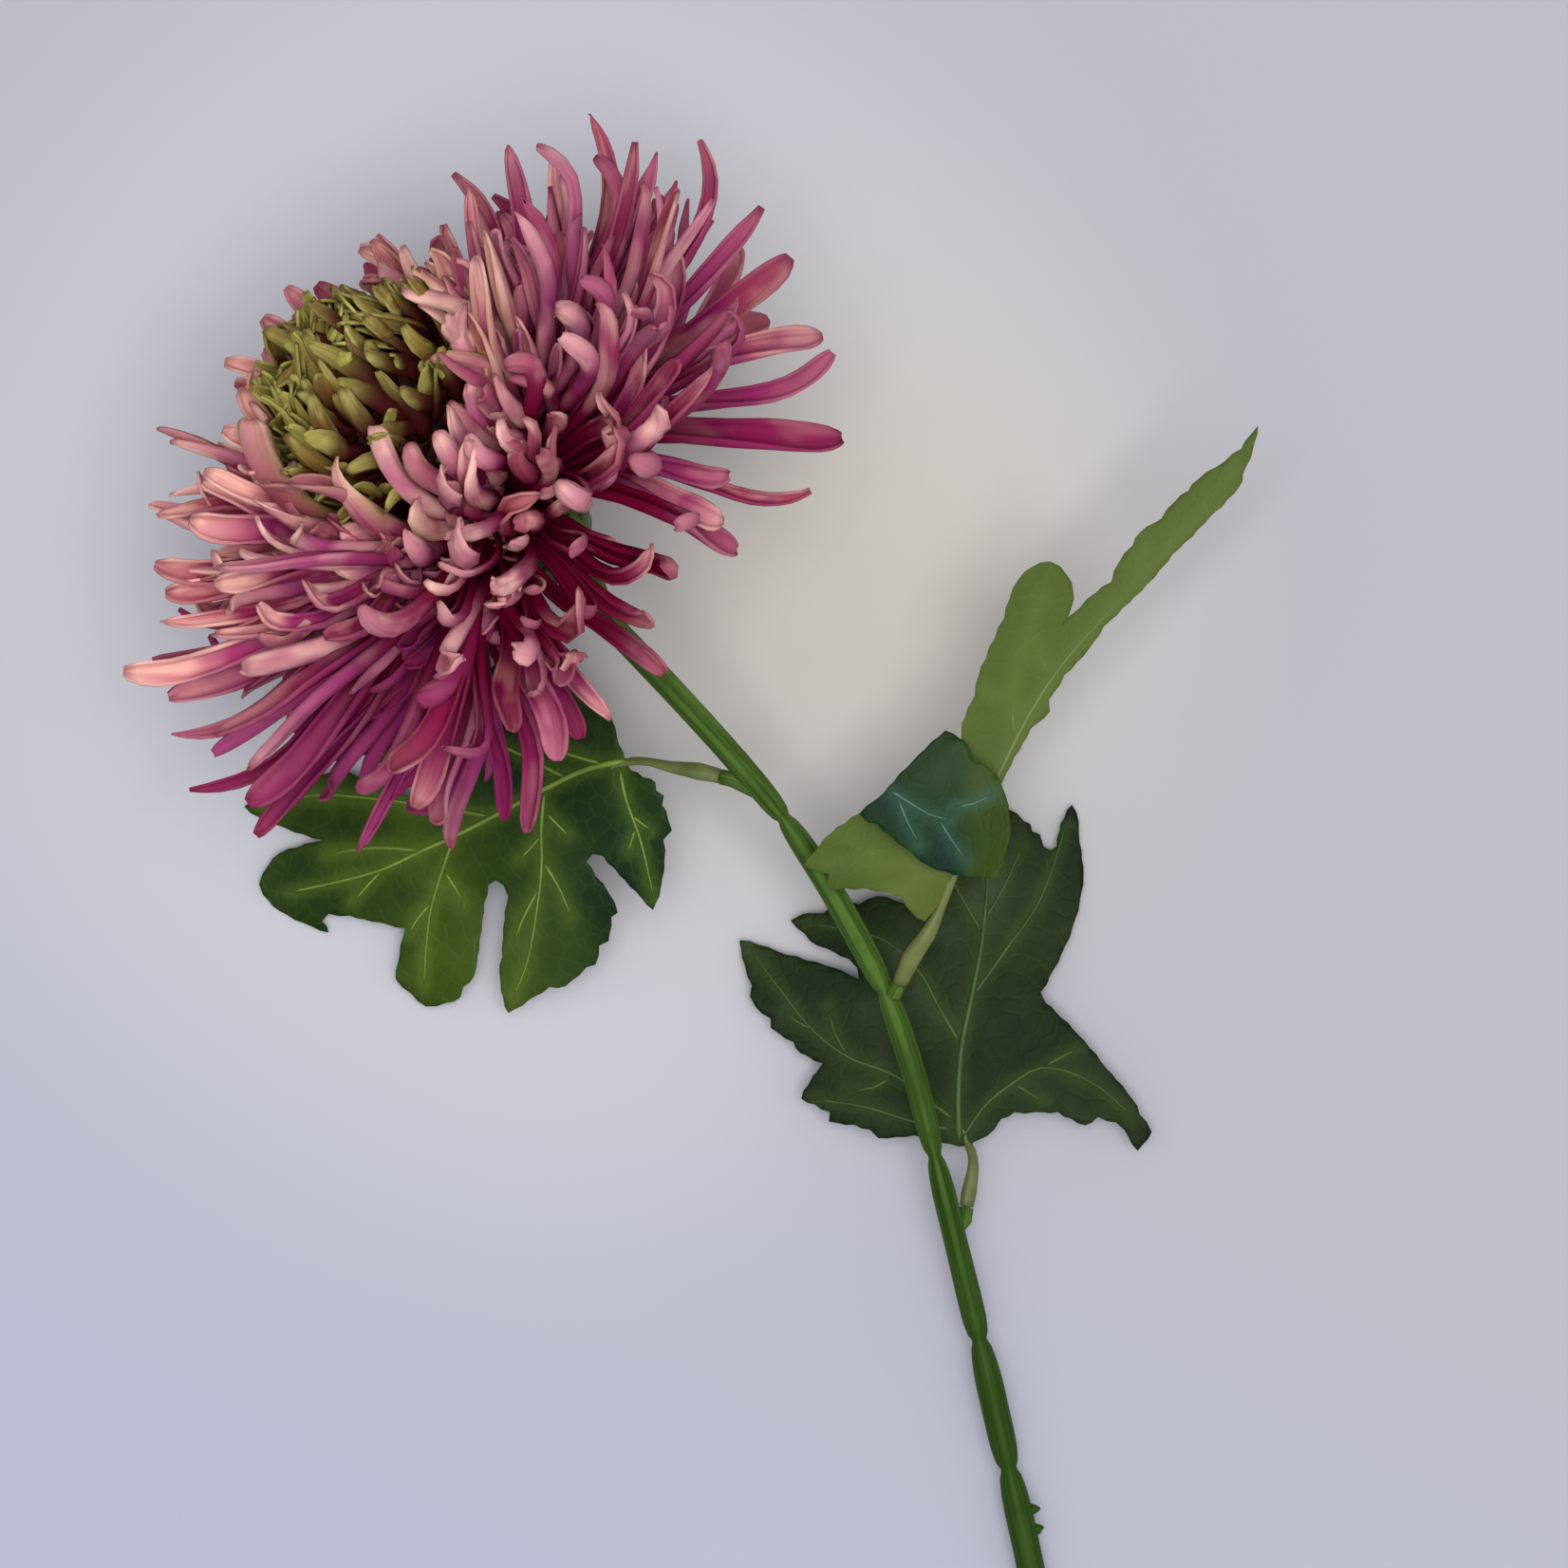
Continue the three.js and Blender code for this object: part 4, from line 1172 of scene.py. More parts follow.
    def _single(self, number: int, tip: Pixel, height: float, lean: float, swing: float,
                width: float, launch: float = 14) -> Floret:
        """Floret that ends at a point picked out in the photograph.

        Args:
            number: Its place in the list.
            tip: Pixel of its tip.
            height: Height of its tip over the table.
            lean: How far its end leans back, in degrees.
            swing: How far it swings sideways, in degrees.
            width: Width factor.
            launch: How far its root leans out, in degrees.

        Returns:
            The floret.
        """
        offset = from_photo(tip, height) - BLOOM.middle
        right, top = offset.dot(BLOOM.right), offset.dot(BLOOM.up)
        polar = math.degrees(math.atan2(math.hypot(right, top), offset.dot(BLOOM.axis)))
        whorl = min(max((self.polars[0] - polar) / (self.polars[0] - self.polars[1]), 0), 1)
        return Floret(
            whorl, math.degrees(math.atan2(top, right)), polar, offset.length,
            launch=launch, lean=lean, swing=swing, twist=(number % 4 - 1.5) * 40, width=width,
            pointed=width < self.pointed_width or tip[1] < self.pointed_above,
            tint=(number * 0.37) % 1, late=self.olive_singles.get(number, 0))

    def _clear(self, point: Vector, start: Vector, clearance: float) -> Vector:
        """Point pushed out to a clearance from another."""
        offset = point - start
        return start + offset.normalized() * clearance if offset.length < clearance else point

    def _nearest_on_stem(self, point: Vector) -> Vector:
        """Nearest point of the stem's first stretch.

        Args:
            point: Point of a floret.

        Returns:
            The point of the stem.
        """
        guide = [BLOOM.along_axis(0), *(self.stem.at(along) for along in self.stem_marks)]
        near = []
        for start, end in zip(guide, guide[1:]):
            run = end - start
            share = min(max((point - start).dot(run) / run.length_squared, 0), 1)
            near.append(start + run * share)
        return min(near, key=lambda candidate: (candidate - point).length)

    def settle(self, point: Vector) -> Vector:
        """Bends a point clear of the green centre, the stem, the leaf below and the table.

        Args:
            point: Point of a floret's free line.

        Returns:
            The point where the floret can be.
        """
        point = self._clear(point, BLOOM.along_axis(CENTRE_HEIGHT), CENTRE_REACH + self.centre_room)
        if (point - BLOOM.middle).dot(BLOOM.axis) < self.stem_side:
            point = self._clear(point, self._nearest_on_stem(point), self.stem_room)
        along, side = self.under.inside(point)
        if self.leaf_span[0] < along < self.leaf_span[1] and abs(side) < self.leaf_half_width:
            point.z = max(point.z, self.under.height(point) + self.leaf_room)
        point.z = max(point.z, GAP)
        return point

    def _habit(self, floret: Floret, loose: float) -> Habit:
        """Bends and colours of a floret.

        Args:
            floret: The floret.
            loose: How freely its tip may curl, from 0 to 1.

        Returns:
            Its habit.
        """
        first, second, third = ((floret.tint * factor) % 1 for factor in (13.7, 29.3, 61.1))
        near = camera_weight(floret.azimuth) * smooth(floret.polar, 28, 50)
        rolled = second < 0.24 + 0.66 * near
        tight = mix(30 + 60 * first, 60 + 110 * first, near)
        width = min(0.86 * floret.width, mix(1.28, 1.02, loose))
        return Habit(
            floret.twist if loose else self._facing(floret) + 0.4 * floret.twist,
            width * (1 + 0.06 * near * loose) * (1 + 0.4 * floret.late * loose),
            floret.tint, floret.late * (1 - 0.75 * near),
            # deep paints shade on the near side, partly the florets' own wine; pale is the salmon share,
            # partly painted light
            deep=near, pale=self._salmon_and_painted_light(floret, third, near),
            wave=(1.1 + 1.9 * third) * mix(0.4, 1, loose),
            curl=(tight if rolled else 30 * first) * loose, turn=200 * (third - 0.5) + 30 * near,
            start=0.88 - 0.14 * first - 0.1 * near * first)

    def _facing(self, floret: Floret) -> float:
        """Twist that turns the end of a floret flat to the camera.

        Args:
            floret: The floret.

        Returns:
            The twist from -90 to 90 degrees.
        """
        controls = floret.controls()
        ahead = (controls[3] - controls[2]).normalized()
        side = BLOOM.direction(90, floret.azimuth - 90)
        level = UP.cross(ahead)
        turn = math.degrees(math.atan2(ahead.dot(side.cross(level)), side.dot(level)))
        return (turn + 90) % 180 - 90

    def _salmon_and_painted_light(self, floret: Floret, roll: float, near: float) -> float:
        """Share of salmon in a floret, partly its own colour and partly painted light: most in the inner
        whorls, on the left and on the near side; the left and the outer right are painted lit, the outer
        left painted in shade.

        Args:
            floret: The floret.
            roll: Its own number from 0 to 1.
            near: Weight of the near side.

        Returns:
            The share from 0 to 1.
        """
        inner = 1 - smooth(floret.polar, 54, 82)
        # painted light on the left, where the light comes from; painted shade on the outer florets there
        left = sector_weight(floret.azimuth, 206, 30, 62)
        # painted sheen on the long outer florets on the right
        right = sector_weight(floret.azimuth, 10, 30, 60) * (1 - inner)
        share = (0.3 * inner + left * (1.25 * inner - 0.2) + 0.42 * near + 0.3 * right
                 + 0.45 * floret.late)
        return min(max(share + 0.5 * (roll - 0.4), 0), 1)

    def _sweep(self, name: str, florets: Sequence[Floret], columns: int, rows: int,
               loose: float = 1.0) -> None:
        """Makes one piece of florets.

        Args:
            name: Name of the piece.
            florets: Its florets.
            columns: Cells across each.
            rows: Cells along each.
            loose: How freely their tips may curl.
        """
        made = FloretField(name, "ray_florets", columns, rows)
        for floret in florets:
            controls = floret.controls()
            shape = POINTED_BLADE if floret.pointed else ROUND_BLADE
            made.add(lambda share, c=controls: self.settle(bezier(c, share)), floret.azimuth, shape,
                     self._habit(floret, loose))
        made.finish(self.face, self.reverse)

    def build(self) -> None:
        """Makes the florets and the core."""
        dice, fill, curl = Dice(self.seed), Dice(self.filler_seed), Dice(self.curl_seed)
        main = [self._rule(number, self.count, dice) for number in range(self.count)]
        main = [replace(floret, reach=floret.reach * self.shortened.get(number, 1))
                for number, floret in enumerate(main) if number not in self.left_out]
        singles = [self._single(number, *values) for number, values in enumerate(self.singles)]
        fillers = [self._filler(number, fill) for number in range(self.filler_count)]
        fillers = [floret for floret in fillers if not self._in_gap(floret)]
        curls = [self._curl(number, curl) for number in range(self.curl_count)]
        self._sweep("ray_florets_long", main, 6, 13)
        self._sweep("ray_florets_single", singles, 6, 14, 0)
        self._sweep("ray_florets_short", fillers, 5, 10)
        self._sweep("ray_florets_curled", curls, 4, 11)
        make_core("ray_core", "ray_florets", self.core, 40, self.heart)


@dataclass
class CentreHead:
    """Olive-green florets closed over the middle, on their own core."""

    seed: int = 11
    count: int = 27
    filler_seed: int = 31
    filler_count: int = 180
    polars: tuple[float, float] = (104, 14)
    root_radius: float = 9.5
    upright_share: float = 0.4
    core: Table = (
        (0, 16.3), (8.4, 16.3), (11, 20.5), (12.2, 26), (11.6, 32.5), (9, 37), (5, 39.4), (0, 40.2))
    # the dark root colours stand partly for the shade between the florets: painted shade
    face: FloretFinish = FloretFinish(
        "centre_floret_face", shade(58, 14, 16), shade(126, 104, 38), shade(156, 158, 50),
        shade(98, 58, 30), shade(190, 184, 104), shade(146, 78, 58), shade(96, 42, 26), 0.66, depth=0.5)
    reverse: FloretFinish = FloretFinish(
        "centre_floret_reverse", shade(62, 16, 18), shade(136, 110, 46), shade(164, 164, 60),
        shade(106, 64, 34), shade(194, 188, 110), shade(156, 88, 66), shade(102, 48, 30), 0.66, depth=0.5)
    # dark core like the shade between the florets: painted shade
    heart: PlainFinish = PlainFinish("centre_core", shade(52, 14, 16), shade(70, 30, 20), 0.9)

    def _habit(self, azimuth: float, polar: float, twist: float, scale: float,
               tint: float) -> Habit:
        """Colour and bends of a centre floret: browner low down and on the near side, where its dark root,
        partly painted shade, reaches further.

        Args:
            azimuth: Its azimuth.
            polar: Its angle from the axis.
            twist: Its twist in degrees.
            scale: Width factor.
            tint: Its own number from 0 to 1.

        Returns:
            Its habit.
        """
        near = camera_weight(azimuth) * smooth(polar, 20, 70)
        late = max(smooth(polar, 80, 112) * 0.5, near * 0.8 * tint)
        # painted shade, partly the florets' own dark roots: the dark root reaches further, most on the near
        # side
        deep = min(0.15 + 0.75 * ((tint * 17.3) % 1) + 0.4 * near, 1)
        return Habit(twist, scale, tint, late, deep, pale=0.6, wave=0.9,
                     curl=14 + 36 * tint, turn=300 * tint, start=0.6)

    def _main(self, made: FloretField, number: int, dice: Dice) -> None:
        """Adds a floret of the seeded rule, as in the part's source.

        Args:
            made: Piece in the making.
            number: Its place in the spiral.
            dice: Random numbers.
        """
        azimuth = number * GOLDEN_ANGLE + 14 * (dice.roll() - 0.5)
        polar = mix(*self.polars, number / (self.count - 1)) + 8 * (dice.roll() - 0.5)
        climb = 16 + 34 * dice.roll()
        reach = CENTRE_REACH * (0.86 + 0.14 * dice.roll()) - 0.8
        swing = 50 * (dice.roll() - 0.5)
        twist = 80 * (dice.roll() - 0.5)
        scale = (0.85 + 0.3 * dice.roll()) * 0.8
        habit = self._habit(azimuth, polar, twist, scale, (number * 0.618) % 1)
        self._sweep(made, azimuth, habit, (
            (polar, 0, self.root_radius), (polar + 6, 0, reach - 4),
            (polar - 0.4 * climb, 0.5 * swing, reach), (polar - climb, swing, reach - 1)))

    def _tuft(self, made: FloretField, number: int, dice: Dice) -> None:
        """Adds a small floret that stands up from the core and bends over.

        Args:
            made: Piece in the making.
            number: Its place in the spiral.
            dice: Random numbers.
        """
        share = (number + 0.5) / self.filler_count
        polar = math.degrees(math.acos(1 - 1.6 * share))
        azimuth = number * GOLDEN_ANGLE + dice.spread(24)
        upright = dice.roll() < self.upright_share
        lean = 8 + 26 * dice.roll() if upright else 24 + 34 * dice.roll()
        swing, tint = dice.spread(60), dice.roll()
        reach = CENTRE_REACH * (0.88 + (0.2 if upright else 0.13) * dice.roll())
        scale = 0.58 + 0.3 * dice.roll()
        habit = self._habit(azimuth, polar, dice.spread(110), scale, tint)
        self._sweep(made, azimuth, habit, (
            (polar + 8, 0, self.root_radius), (polar + 5, 0.1 * swing, 15),
            (polar - 0.3 * lean, 0.6 * swing, reach + 0.8), (polar - lean, swing, reach - 2.4 * tint)))

    def _sweep(self, made: FloretField, azimuth: float, habit: Habit,
               steps: Sequence[tuple[float, float, float]]) -> None:
        """Adds one floret.

        Args:
            made: Piece in the making.
            azimuth: Its azimuth.
            habit: Its colour and bends.
            steps: Polar angle, turn and radius of its four control points.
        """
        middle = BLOOM.along_axis(CENTRE_HEIGHT)
        controls = [middle + BLOOM.direction(polar, azimuth + turn) * radius
                    for polar, turn, radius in steps]
        made.add(lambda share: bezier(controls, share), azimuth, CENTRE_BLADE, habit)

    def build(self) -> None:
        """Makes the florets and the core."""
        made = FloretField("centre_florets_fine", "centre_florets", 4, 8)
        dice, small = Dice(self.seed), Dice(self.filler_seed)
        for number in range(self.count):
            self._main(made, number, dice)
        for number in range(self.filler_count):
            self._tuft(made, number, small)
        made.finish(self.face, self.reverse)
        make_core("centre_core", "centre_florets", self.core, 36, self.heart)


@dataclass
class Calyx:
    """Green cup under the bloom with two rows of pointed bracts."""

    profile: Table = (
        (0, CUP_FOOT), (3.1, CUP_FOOT), (4.2, -12.4), (7.6, -9), (9.4, -5.5), (9.6, -1.3), (0, -1.3))
    sides: int = 48
    bracts: int = 16
    bract_rows: tuple[tuple[float, float], ...] = ((-12, -4.4), (-9.6, -1.8))
    bract_widths: tuple[float, ...] = (0, 1.1, 1.35, 1.2, 0.8, 0)
    bract_thickness: float = 0.3
    finish: PlainFinish = PlainFinish("calyx_cup", shade(58, 84, 28), shade(78, 102, 40), 0.55)

    def build(self) -> None:
        """Makes the cup and its bracts as one piece."""
        cup = Workpiece("calyx_cup")
        cup.turned(self.profile, self.sides)
        for row, (low, high) in enumerate(self.bract_rows):
            for number in range(self.bracts):
                self._bract(cup, 360 * (number + 0.5 * row) / self.bracts, low, high)
        cup.close()
        cup.finish([self.finish.build()], "calyx", "calyx")

    def _bract(self, cup: Workpiece, azimuth: float, low: float, high: float) -> None:
        """Adds a small pointed bract that lies on the cup.

        Args:
            cup: Piece in the making.
            azimuth: Where it is round the cup.
            low: Height of its root.
            high: Height of its tip.
        """
        outer = [(height, radius) for radius, height in self.profile[1:-1]]
        last = len(self.bract_widths) - 1
        points = []
        for row in range(last + 1):
            height = mix(low, high, row / last)
            radius = look_up(outer, height) + 0.25
            points.append(BLOOM.along_axis(height) + BLOOM.direction(90, azimuth) * radius)
        stations = stations_along(points, BLOOM.direction(90, azimuth + 90))
        for vert, across, row in cup.sheet(8, last):
            angle, width = -math.pi * across, self.bract_widths[row]
            vert.co = stations[row].offset(
                width * math.sin(angle), self.bract_thickness * min(width, 1) * math.cos(angle))


# Stem


@dataclass
class Stem:
    """Moulded stalk whose lengths narrow into joints, with a peg for each leaf."""

    line_pixels: tuple[Spot, ...] = (
        (629, 643, 44), (657, 672, 41), (733, 753, 34), (789, 816, 29.6), (831, 869, 26.6),
        (868, 925, 24), (905, 990, 21.4), (935, 1050, 19.2), (961, 1125, 16.8), (983, 1210, 14.3),
        (1005, 1300, 11.8), (1032, 1412, 9), (1063, 1548, 6.2), (1086, 1652, 4.6))
    beyond: tuple[Spot, ...] = (
        (47, -160, 3), (53.5, -196, 2.45), (59, -236, 2.42), (63, -280, 2.42), (65, -325, 2.42))
    joint_pixels: tuple[Pixel, ...] = ((826, 862), (937, 1040), (985, 1218), (1032, 1412), (1063, 1548))
    hidden_joints: tuple[float, ...] = (232, 282, 333)
    radii: Table = (
        (0, 2.5), (10, 2.1), (60, 2), (83, 2.15), (121, 1.95), (137, 1.98), (167, 2.33), (240, 2.4),
        (400, 2.5))
    joint_shape: Table = (
        (-7, 1), (-4, 0.96), (-2.6, 0.9), (-1.2, 0.79), (-0.2, 0.58), (0.3, 0.6), (1.3, 0.78), (2.7, 0.88),
        (4.2, 0.95), (7, 1.02), (14, 1))
    joint_rows: tuple[float, ...] = (-5, -3.6, -2.4, -1.2, -0.2, 0.3, 1.3, 2.7, 4.2)
    burrs: tuple[Spot, ...] = ((1088, 1590, 5.6), (1092, 1611, 5.3))
    burr_radius: float = 1.2
    peg_radii: tuple[float, ...] = (1.3, 1.33, 1.35, 1.3, 0)
    peg_sides: int = 14
    sides: int = 30
    ridges: int = 5
    ridge_height: float = 0.025
    step: float = 3
    finish: StalkFinish = StalkFinish(
        "stem_green", shade(38, 62, 8), shade(88, 120, 46), shade(54, 84, 20), shade(30, 58, 0))

    def __post_init__(self) -> None:
        """Lays out the centreline and its joints."""
        points = [BLOOM.along_axis(CUP_FOOT - GAP), BLOOM.along_axis(CUP_FOOT - 4)]
        points += from_spots(self.line_pixels)
        points += [Vector(point) for point in self.beyond]
        self.line = SmoothLine(points)
        self.joints = [self._distance_at(pixel) for pixel in self.joint_pixels]
        self.joints += self.hidden_joints

    def _distance_at(self, pixel: Pixel) -> float:
        """Distance along the stem at which it passes a pixel.

        Args:
            pixel: The pixel.

        Returns:
            The distance, to half a millimetre.
        """
        spots = [0.5 * index for index in range(int(2 * self.line.length))]
        return min(spots, key=lambda along: (from_photo(pixel, self.line.at(along).z)
                                             - self.line.at(along)).length)

    def radius(self, along: float) -> float:
        """Radius of the stalk at a distance along it from the calyx."""
        nearest = min(self.joints, key=lambda joint: abs(joint - along))
        return look_up(self.radii, along) * look_up(self.joint_shape, along - nearest)

    def build(self, leaves: Sequence["Leaf"]) -> None:
        """Makes the stalk and its pegs as one piece.

        Args:
            leaves: Leaves whose sleeves sit on the pegs.
        """
        made = Workpiece("stem_stalk", Layer.ALONG, Layer.AROUND, Layer.RIDGE)
        count = int(self.line.length / self.step)
        spots = {round(self.line.length * index / count, 3) for index in range(count + 1)}
        for joint in self.joints:
            spots |= {round(joint + offset, 3) for offset in self.joint_rows}
        ordered = sorted(spots)
        rows = [ordered[0], *ordered, ordered[-1]]
        stations = stations_along([self.line.at(along) for along in rows], Vector((1, 0, 0)))
        stations[0], stations[-1] = stations[1], stations[-2]

        def ridged(row: int, angle: float) -> float:
            """Radius of the stalk with its ridges, closed at both ends."""
            swell = 1 + self.ridge_height * math.cos(self.ridges * angle)
            return 0 if row in (0, len(rows) - 1) else self.radius(rows[row]) * swell

        made.tube(stations, self.sides, ridged, along=lambda row, angle: rows[row] / 100,
                  ridge=lambda row, angle: 0.5 + 0.5 * math.cos(self.ridges * angle))
        for leaf in leaves:
            self._peg(made, leaf)
        for middle in from_spots(self.burrs):
            self._burr(made, middle)
        made.close()
        made.finish([self.finish.build()], "stem", "stem")

    def _burr(self, made: Workpiece, middle: Vector) -> None:
        """Adds a small rough lump left by the mould.

        Args:
            made: Piece in the making.
            middle: Its middle.
        """
        shape = Matrix.Translation(middle) @ Matrix.Diagonal((1, 0.8, 0.8, 1))
        ball = bmesh.ops.create_icosphere(
            made.bm, subdivisions=2, radius=self.burr_radius, matrix=shape)
        for vert in ball["verts"]:
            vert.co.x += 0.25 * math.sin(4 * vert.co.y)
            made.mark(vert, along=3, around=0.5, ridge=0.4)

    def _peg(self, made: Workpiece, leaf: "Leaf") -> None:
        """Adds the short peg that a leaf's sleeve is pushed up to.

        Args:
            made: Piece in the making.
            leaf: The leaf.
        """
        start, near, far = from_spots((leaf.peg, *leaf.petiole[:2]))
        along = (far - near).normalized()
        end = near - along * GAP
        bend = end - along * 2
        stations = stations_along([start, start.lerp(bend, 0.5), bend, end], UP)
        stations.append(stations[-1])
        made.tube(stations, self.peg_sides, lambda row, angle: self.peg_radii[row],
                  along=lambda row, angle: 0.3, ridge=lambda row, angle: 0.7)


# Leaves


@dataclass
class Leaf:
    """Lobed leaf with raised veins, a thin stalk and the sleeve at its end."""

    name: str
    base: Pixel
    tip: Pixel
    level: float
    outline: tuple[Pixel, ...]
    veins: tuple[tuple[Pixel, ...], ...]
    petiole: tuple[Spot, ...]
    peg: Spot
    shape: Callable[[float, float], float]
    upper: BladeFinish
    lower: BladeFinish
    vein: PlainFinish
    stalk: PlainFinish
    underside_up: bool = False
    cell: float = 1.3
    tooth_step: float = 1.5
    teeth: tuple[float, float] = (0.06, 0.26)
    thickness: float = 0.5
    vein_radii: tuple[float, float] = (0.55, 0.32)
    vein_sink: float = 0.1
    vein_sides: int = 6
    vein_step: float = 2
    vein_taper: float = 0.3
    vein_spread: float = 1.5
    groove_depth: float = 0.28
    groove_width: float = 1.1
    quilt_height: float = 0.3
    quilt_width: float = 4
    relief: float = 0.8
    petiole_radii: tuple[float, ...] = (1.35, 1.6, 1.3, 0.8, 0.8, 0.45)
    petiole_sink: float = 0.4
    petiole_step: float = 1.2
    petiole_sides: int = 14
    petiole_ribs: int = 3
    petiole_rib_height: float = 0.06
    tinge_share: float = 0.0
    tinge_reach: tuple[float, float] = (8, 44)

    def __post_init__(self) -> None:
        """Works out the frame of the blade."""
        self.start = from_photo(self.base, self.level)
        self.run = from_photo(self.tip, self.level) - self.start
        self.run = Vector((self.run.x, self.run.y, 0)).normalized()
        self.left = Vector((-self.run.y, self.run.x, 0))

    def inside(self, point: Vector) -> tuple[float, float]:
        """Distances of a point along the midrib and to its left."""
        offset = point - self.start
        return offset.dot(self.run), offset.dot(self.left)

    def height(self, point: Vector) -> float:
        """Height of the blade's middle over the table at a point."""
        return self.shape(*self.inside(point))

    def build(self) -> None:
        """Makes the blade, its veins and its stalk."""
        lines = self._lines(self.veins)
        self._blade("blade", self.outline, lines, self.height)
        self._veins("veins", lines, self.vein_radii, self.height, self.vein)
        self._stalk()

    def _lines(self, veins: Sequence[Sequence[Pixel]]) -> list[list[Vector]]:
        """Veins in the drawing frame."""
        return [[from_photo(pixel, self.level) for pixel in vein] for vein in veins]

    def _toothed(self, outline: Sequence[Pixel]) -> list[Vector]:
        """Outline with fine teeth between the measured points.

        Args:
            outline: Measured pixels round the blade.

        Returns:
            Points of the edge, level with the table.
        """
        corners = [from_photo(pixel, self.level) for pixel in outline]
        for corner in corners:
            corner.z = 0
        edge = []
        for start, end in zip(corners, corners[1:] + corners[:1]):
            run = end - start
            count = max(round(run.length / self.tooth_step), 1)
            outward = Vector((run.y, -run.x, 0)).normalized()
            for index in range(count):
                point = start + run * (index / count)
                bow = math.sin(math.pi * index / count)
                point += outward * bow * self.teeth[index % 2] * self.turn
                edge.append(point)
        return edge

    @property
    def turn(self) -> int:
        """Sense of the outline, seen from above.

        Returns:
            1 where it runs anticlockwise, else -1.
        """
        pts = self.outline
        area = sum(x0 * y1 - x1 * y0 for (x0, y0), (x1, y1) in zip(pts, pts[1:] + pts[:1]))
        return 1 if area < 0 else -1

    def _cut_sheet(self, edge: Sequence[Vector]) -> bmesh.types.BMesh:
        """Dense flat sheet cut by an edge.

        Args:
            edge: Points round the blade.

        Returns:
            A closed flat mesh one millimetre thick about height 0.
        """
        margin, depth = 2, 3
        low = [min(point[axis] for point in edge) - margin for axis in (0, 1)]
        high = [max(point[axis] for point in edge) + margin for axis in (0, 1)]
        sheet = bmesh.new()
        cells = [round((b - a) / self.cell) for a, b in zip(low, high)]
        bmesh.ops.create_grid(sheet, x_segments=cells[0], y_segments=cells[1], size=0.5)
        bmesh.ops.scale(sheet, vec=(high[0] - low[0], high[1] - low[1], 1), verts=sheet.verts)
        bmesh.ops.translate(sheet, vec=((low[0] + high[0]) / 2, (low[1] + high[1]) / 2, -0.5),
                            verts=sheet.verts)
        bmesh.ops.solidify(sheet, geom=list(sheet.faces), thickness=-1)
        bmesh.ops.recalc_face_normals(sheet, faces=sheet.faces)
        prism = bmesh.new()
        face = prism.faces.new([prism.verts.new((point.x, point.y, -depth)) for point in edge])
        top = bmesh.ops.extrude_face_region(prism, geom=[face])["geom"]
        bmesh.ops.translate(prism, vec=(0, 0, 2 * depth),
                            verts=[item for item in top if isinstance(item, bmesh.types.BMVert)])
        bmesh.ops.recalc_face_normals(prism, faces=prism.faces)
        return boolean_intersect(sheet, prism)

    def tinge(self, point: Vector) -> float:
        """Share of the second colour at a point of the blade."""
        return self.tinge_share * (1 - smooth(self.inside(point)[0], *self.tinge_reach))

    def _blade(self, name: str, outline: Sequence[Pixel], lines: list[list[Vector]],
               height: HeightOf) -> None:
        """Makes a blade that follows a height over the table.

        Args:
            name: End of the piece's name.
            outline: Pixels round it.
            lines: Its veins.
            height: Height of its middle at a point.
        """
        made = Workpiece(f"{self.name}_{name}")
        cut = self._cut_sheet(self._toothed(outline))
        held = bpy.data.meshes.new("flat")
        cut.to_mesh(held)
        cut.free()
        made.bm.from_mesh(held)
        bpy.data.meshes.remove(held)
        made.layers = {layer: made.bm.verts.layers.float.new(layer.value)
                       for layer in (Layer.VEIN, Layer.TINGE)}
        for face in made.bm.faces:
            face.material_index = 1 if face.normal.z < -0.5 else 0
            face.smooth = abs(face.normal.z) > 0.5
        segments = [(a, b) for line in lines for a, b in zip(line, line[1:])]
        for vert in made.bm.verts:
            away = min(distance_to(vert.co, a, b) for a, b in segments)
            groove = self.groove_depth * bell(away, self.groove_width)
            quilt = self.quilt_height * (1 - bell(away, self.quilt_width))
            relief = (groove - quilt) * (1 if self.underside_up else -1) * self.relief
            wall = (1 if vert.co.z > 0 else -1) * self.thickness / 2
            vert.co.z = height(vert.co) + wall + relief
            made.mark(vert, vein=bell(away, self.vein_spread), tinge=self.tinge(vert.co))
        finishes = (self.lower, self.upper) if self.underside_up else (self.upper, self.lower)
        made.finish([finish.build() for finish in finishes], self.name, self.name)

    def _veins(self, name: str, lines: list[list[Vector]], radii: tuple[float, float],
               height: HeightOf, finish: PlainFinish) -> None:
        """Makes the raised veins on the side that shows.

        Args:
            name: End of the piece's name.
            lines: Their points, level with the leaf.
            radii: Radius of the first at its root, and of the others.
            height: Height of the blade's middle at a point.
            finish: Their finish.
        """
        made = Workpiece(f"{self.name}_{name}")
        for index, line in enumerate(lines):
            self._vein(made, line, radii[min(index, 1)], height)
        made.close()
        made.finish([finish.build()], self.name)

    def _vein(self, made: Workpiece, line: Sequence[Vector], radius: float,
              height: HeightOf) -> None:
        """Adds one tapering vein.

        Args:
            made: Piece in the making.
            line: Its points, level with the leaf.
            radius: Its radius at the root.
            height: Height of the blade's middle.
        """
        lift = self.thickness / 2 - self.vein_sink
        curve = SmoothLine(line) if len(line) > 2 else None
        total = curve.length if curve else (line[1] - line[0]).length
        count = max(int(total / self.vein_step), 4)
        points = []
        for index in range(count + 1):
            share = index / count
            point = curve.at(total * share) if curve else line[0].lerp(line[1], share)
            points.append(Vector((point.x, point.y, height(point) + lift)))
        stations = stations_along(points, UP.cross(points[-1] - points[0]))

        def taper(row: int, angle: float) -> float:
            """Radius of the vein, closed at both ends."""
            return 0.0 if row in (0, count) else radius * mix(1, self.vein_taper, row / count)

        made.tube(stations, self.vein_sides, taper)

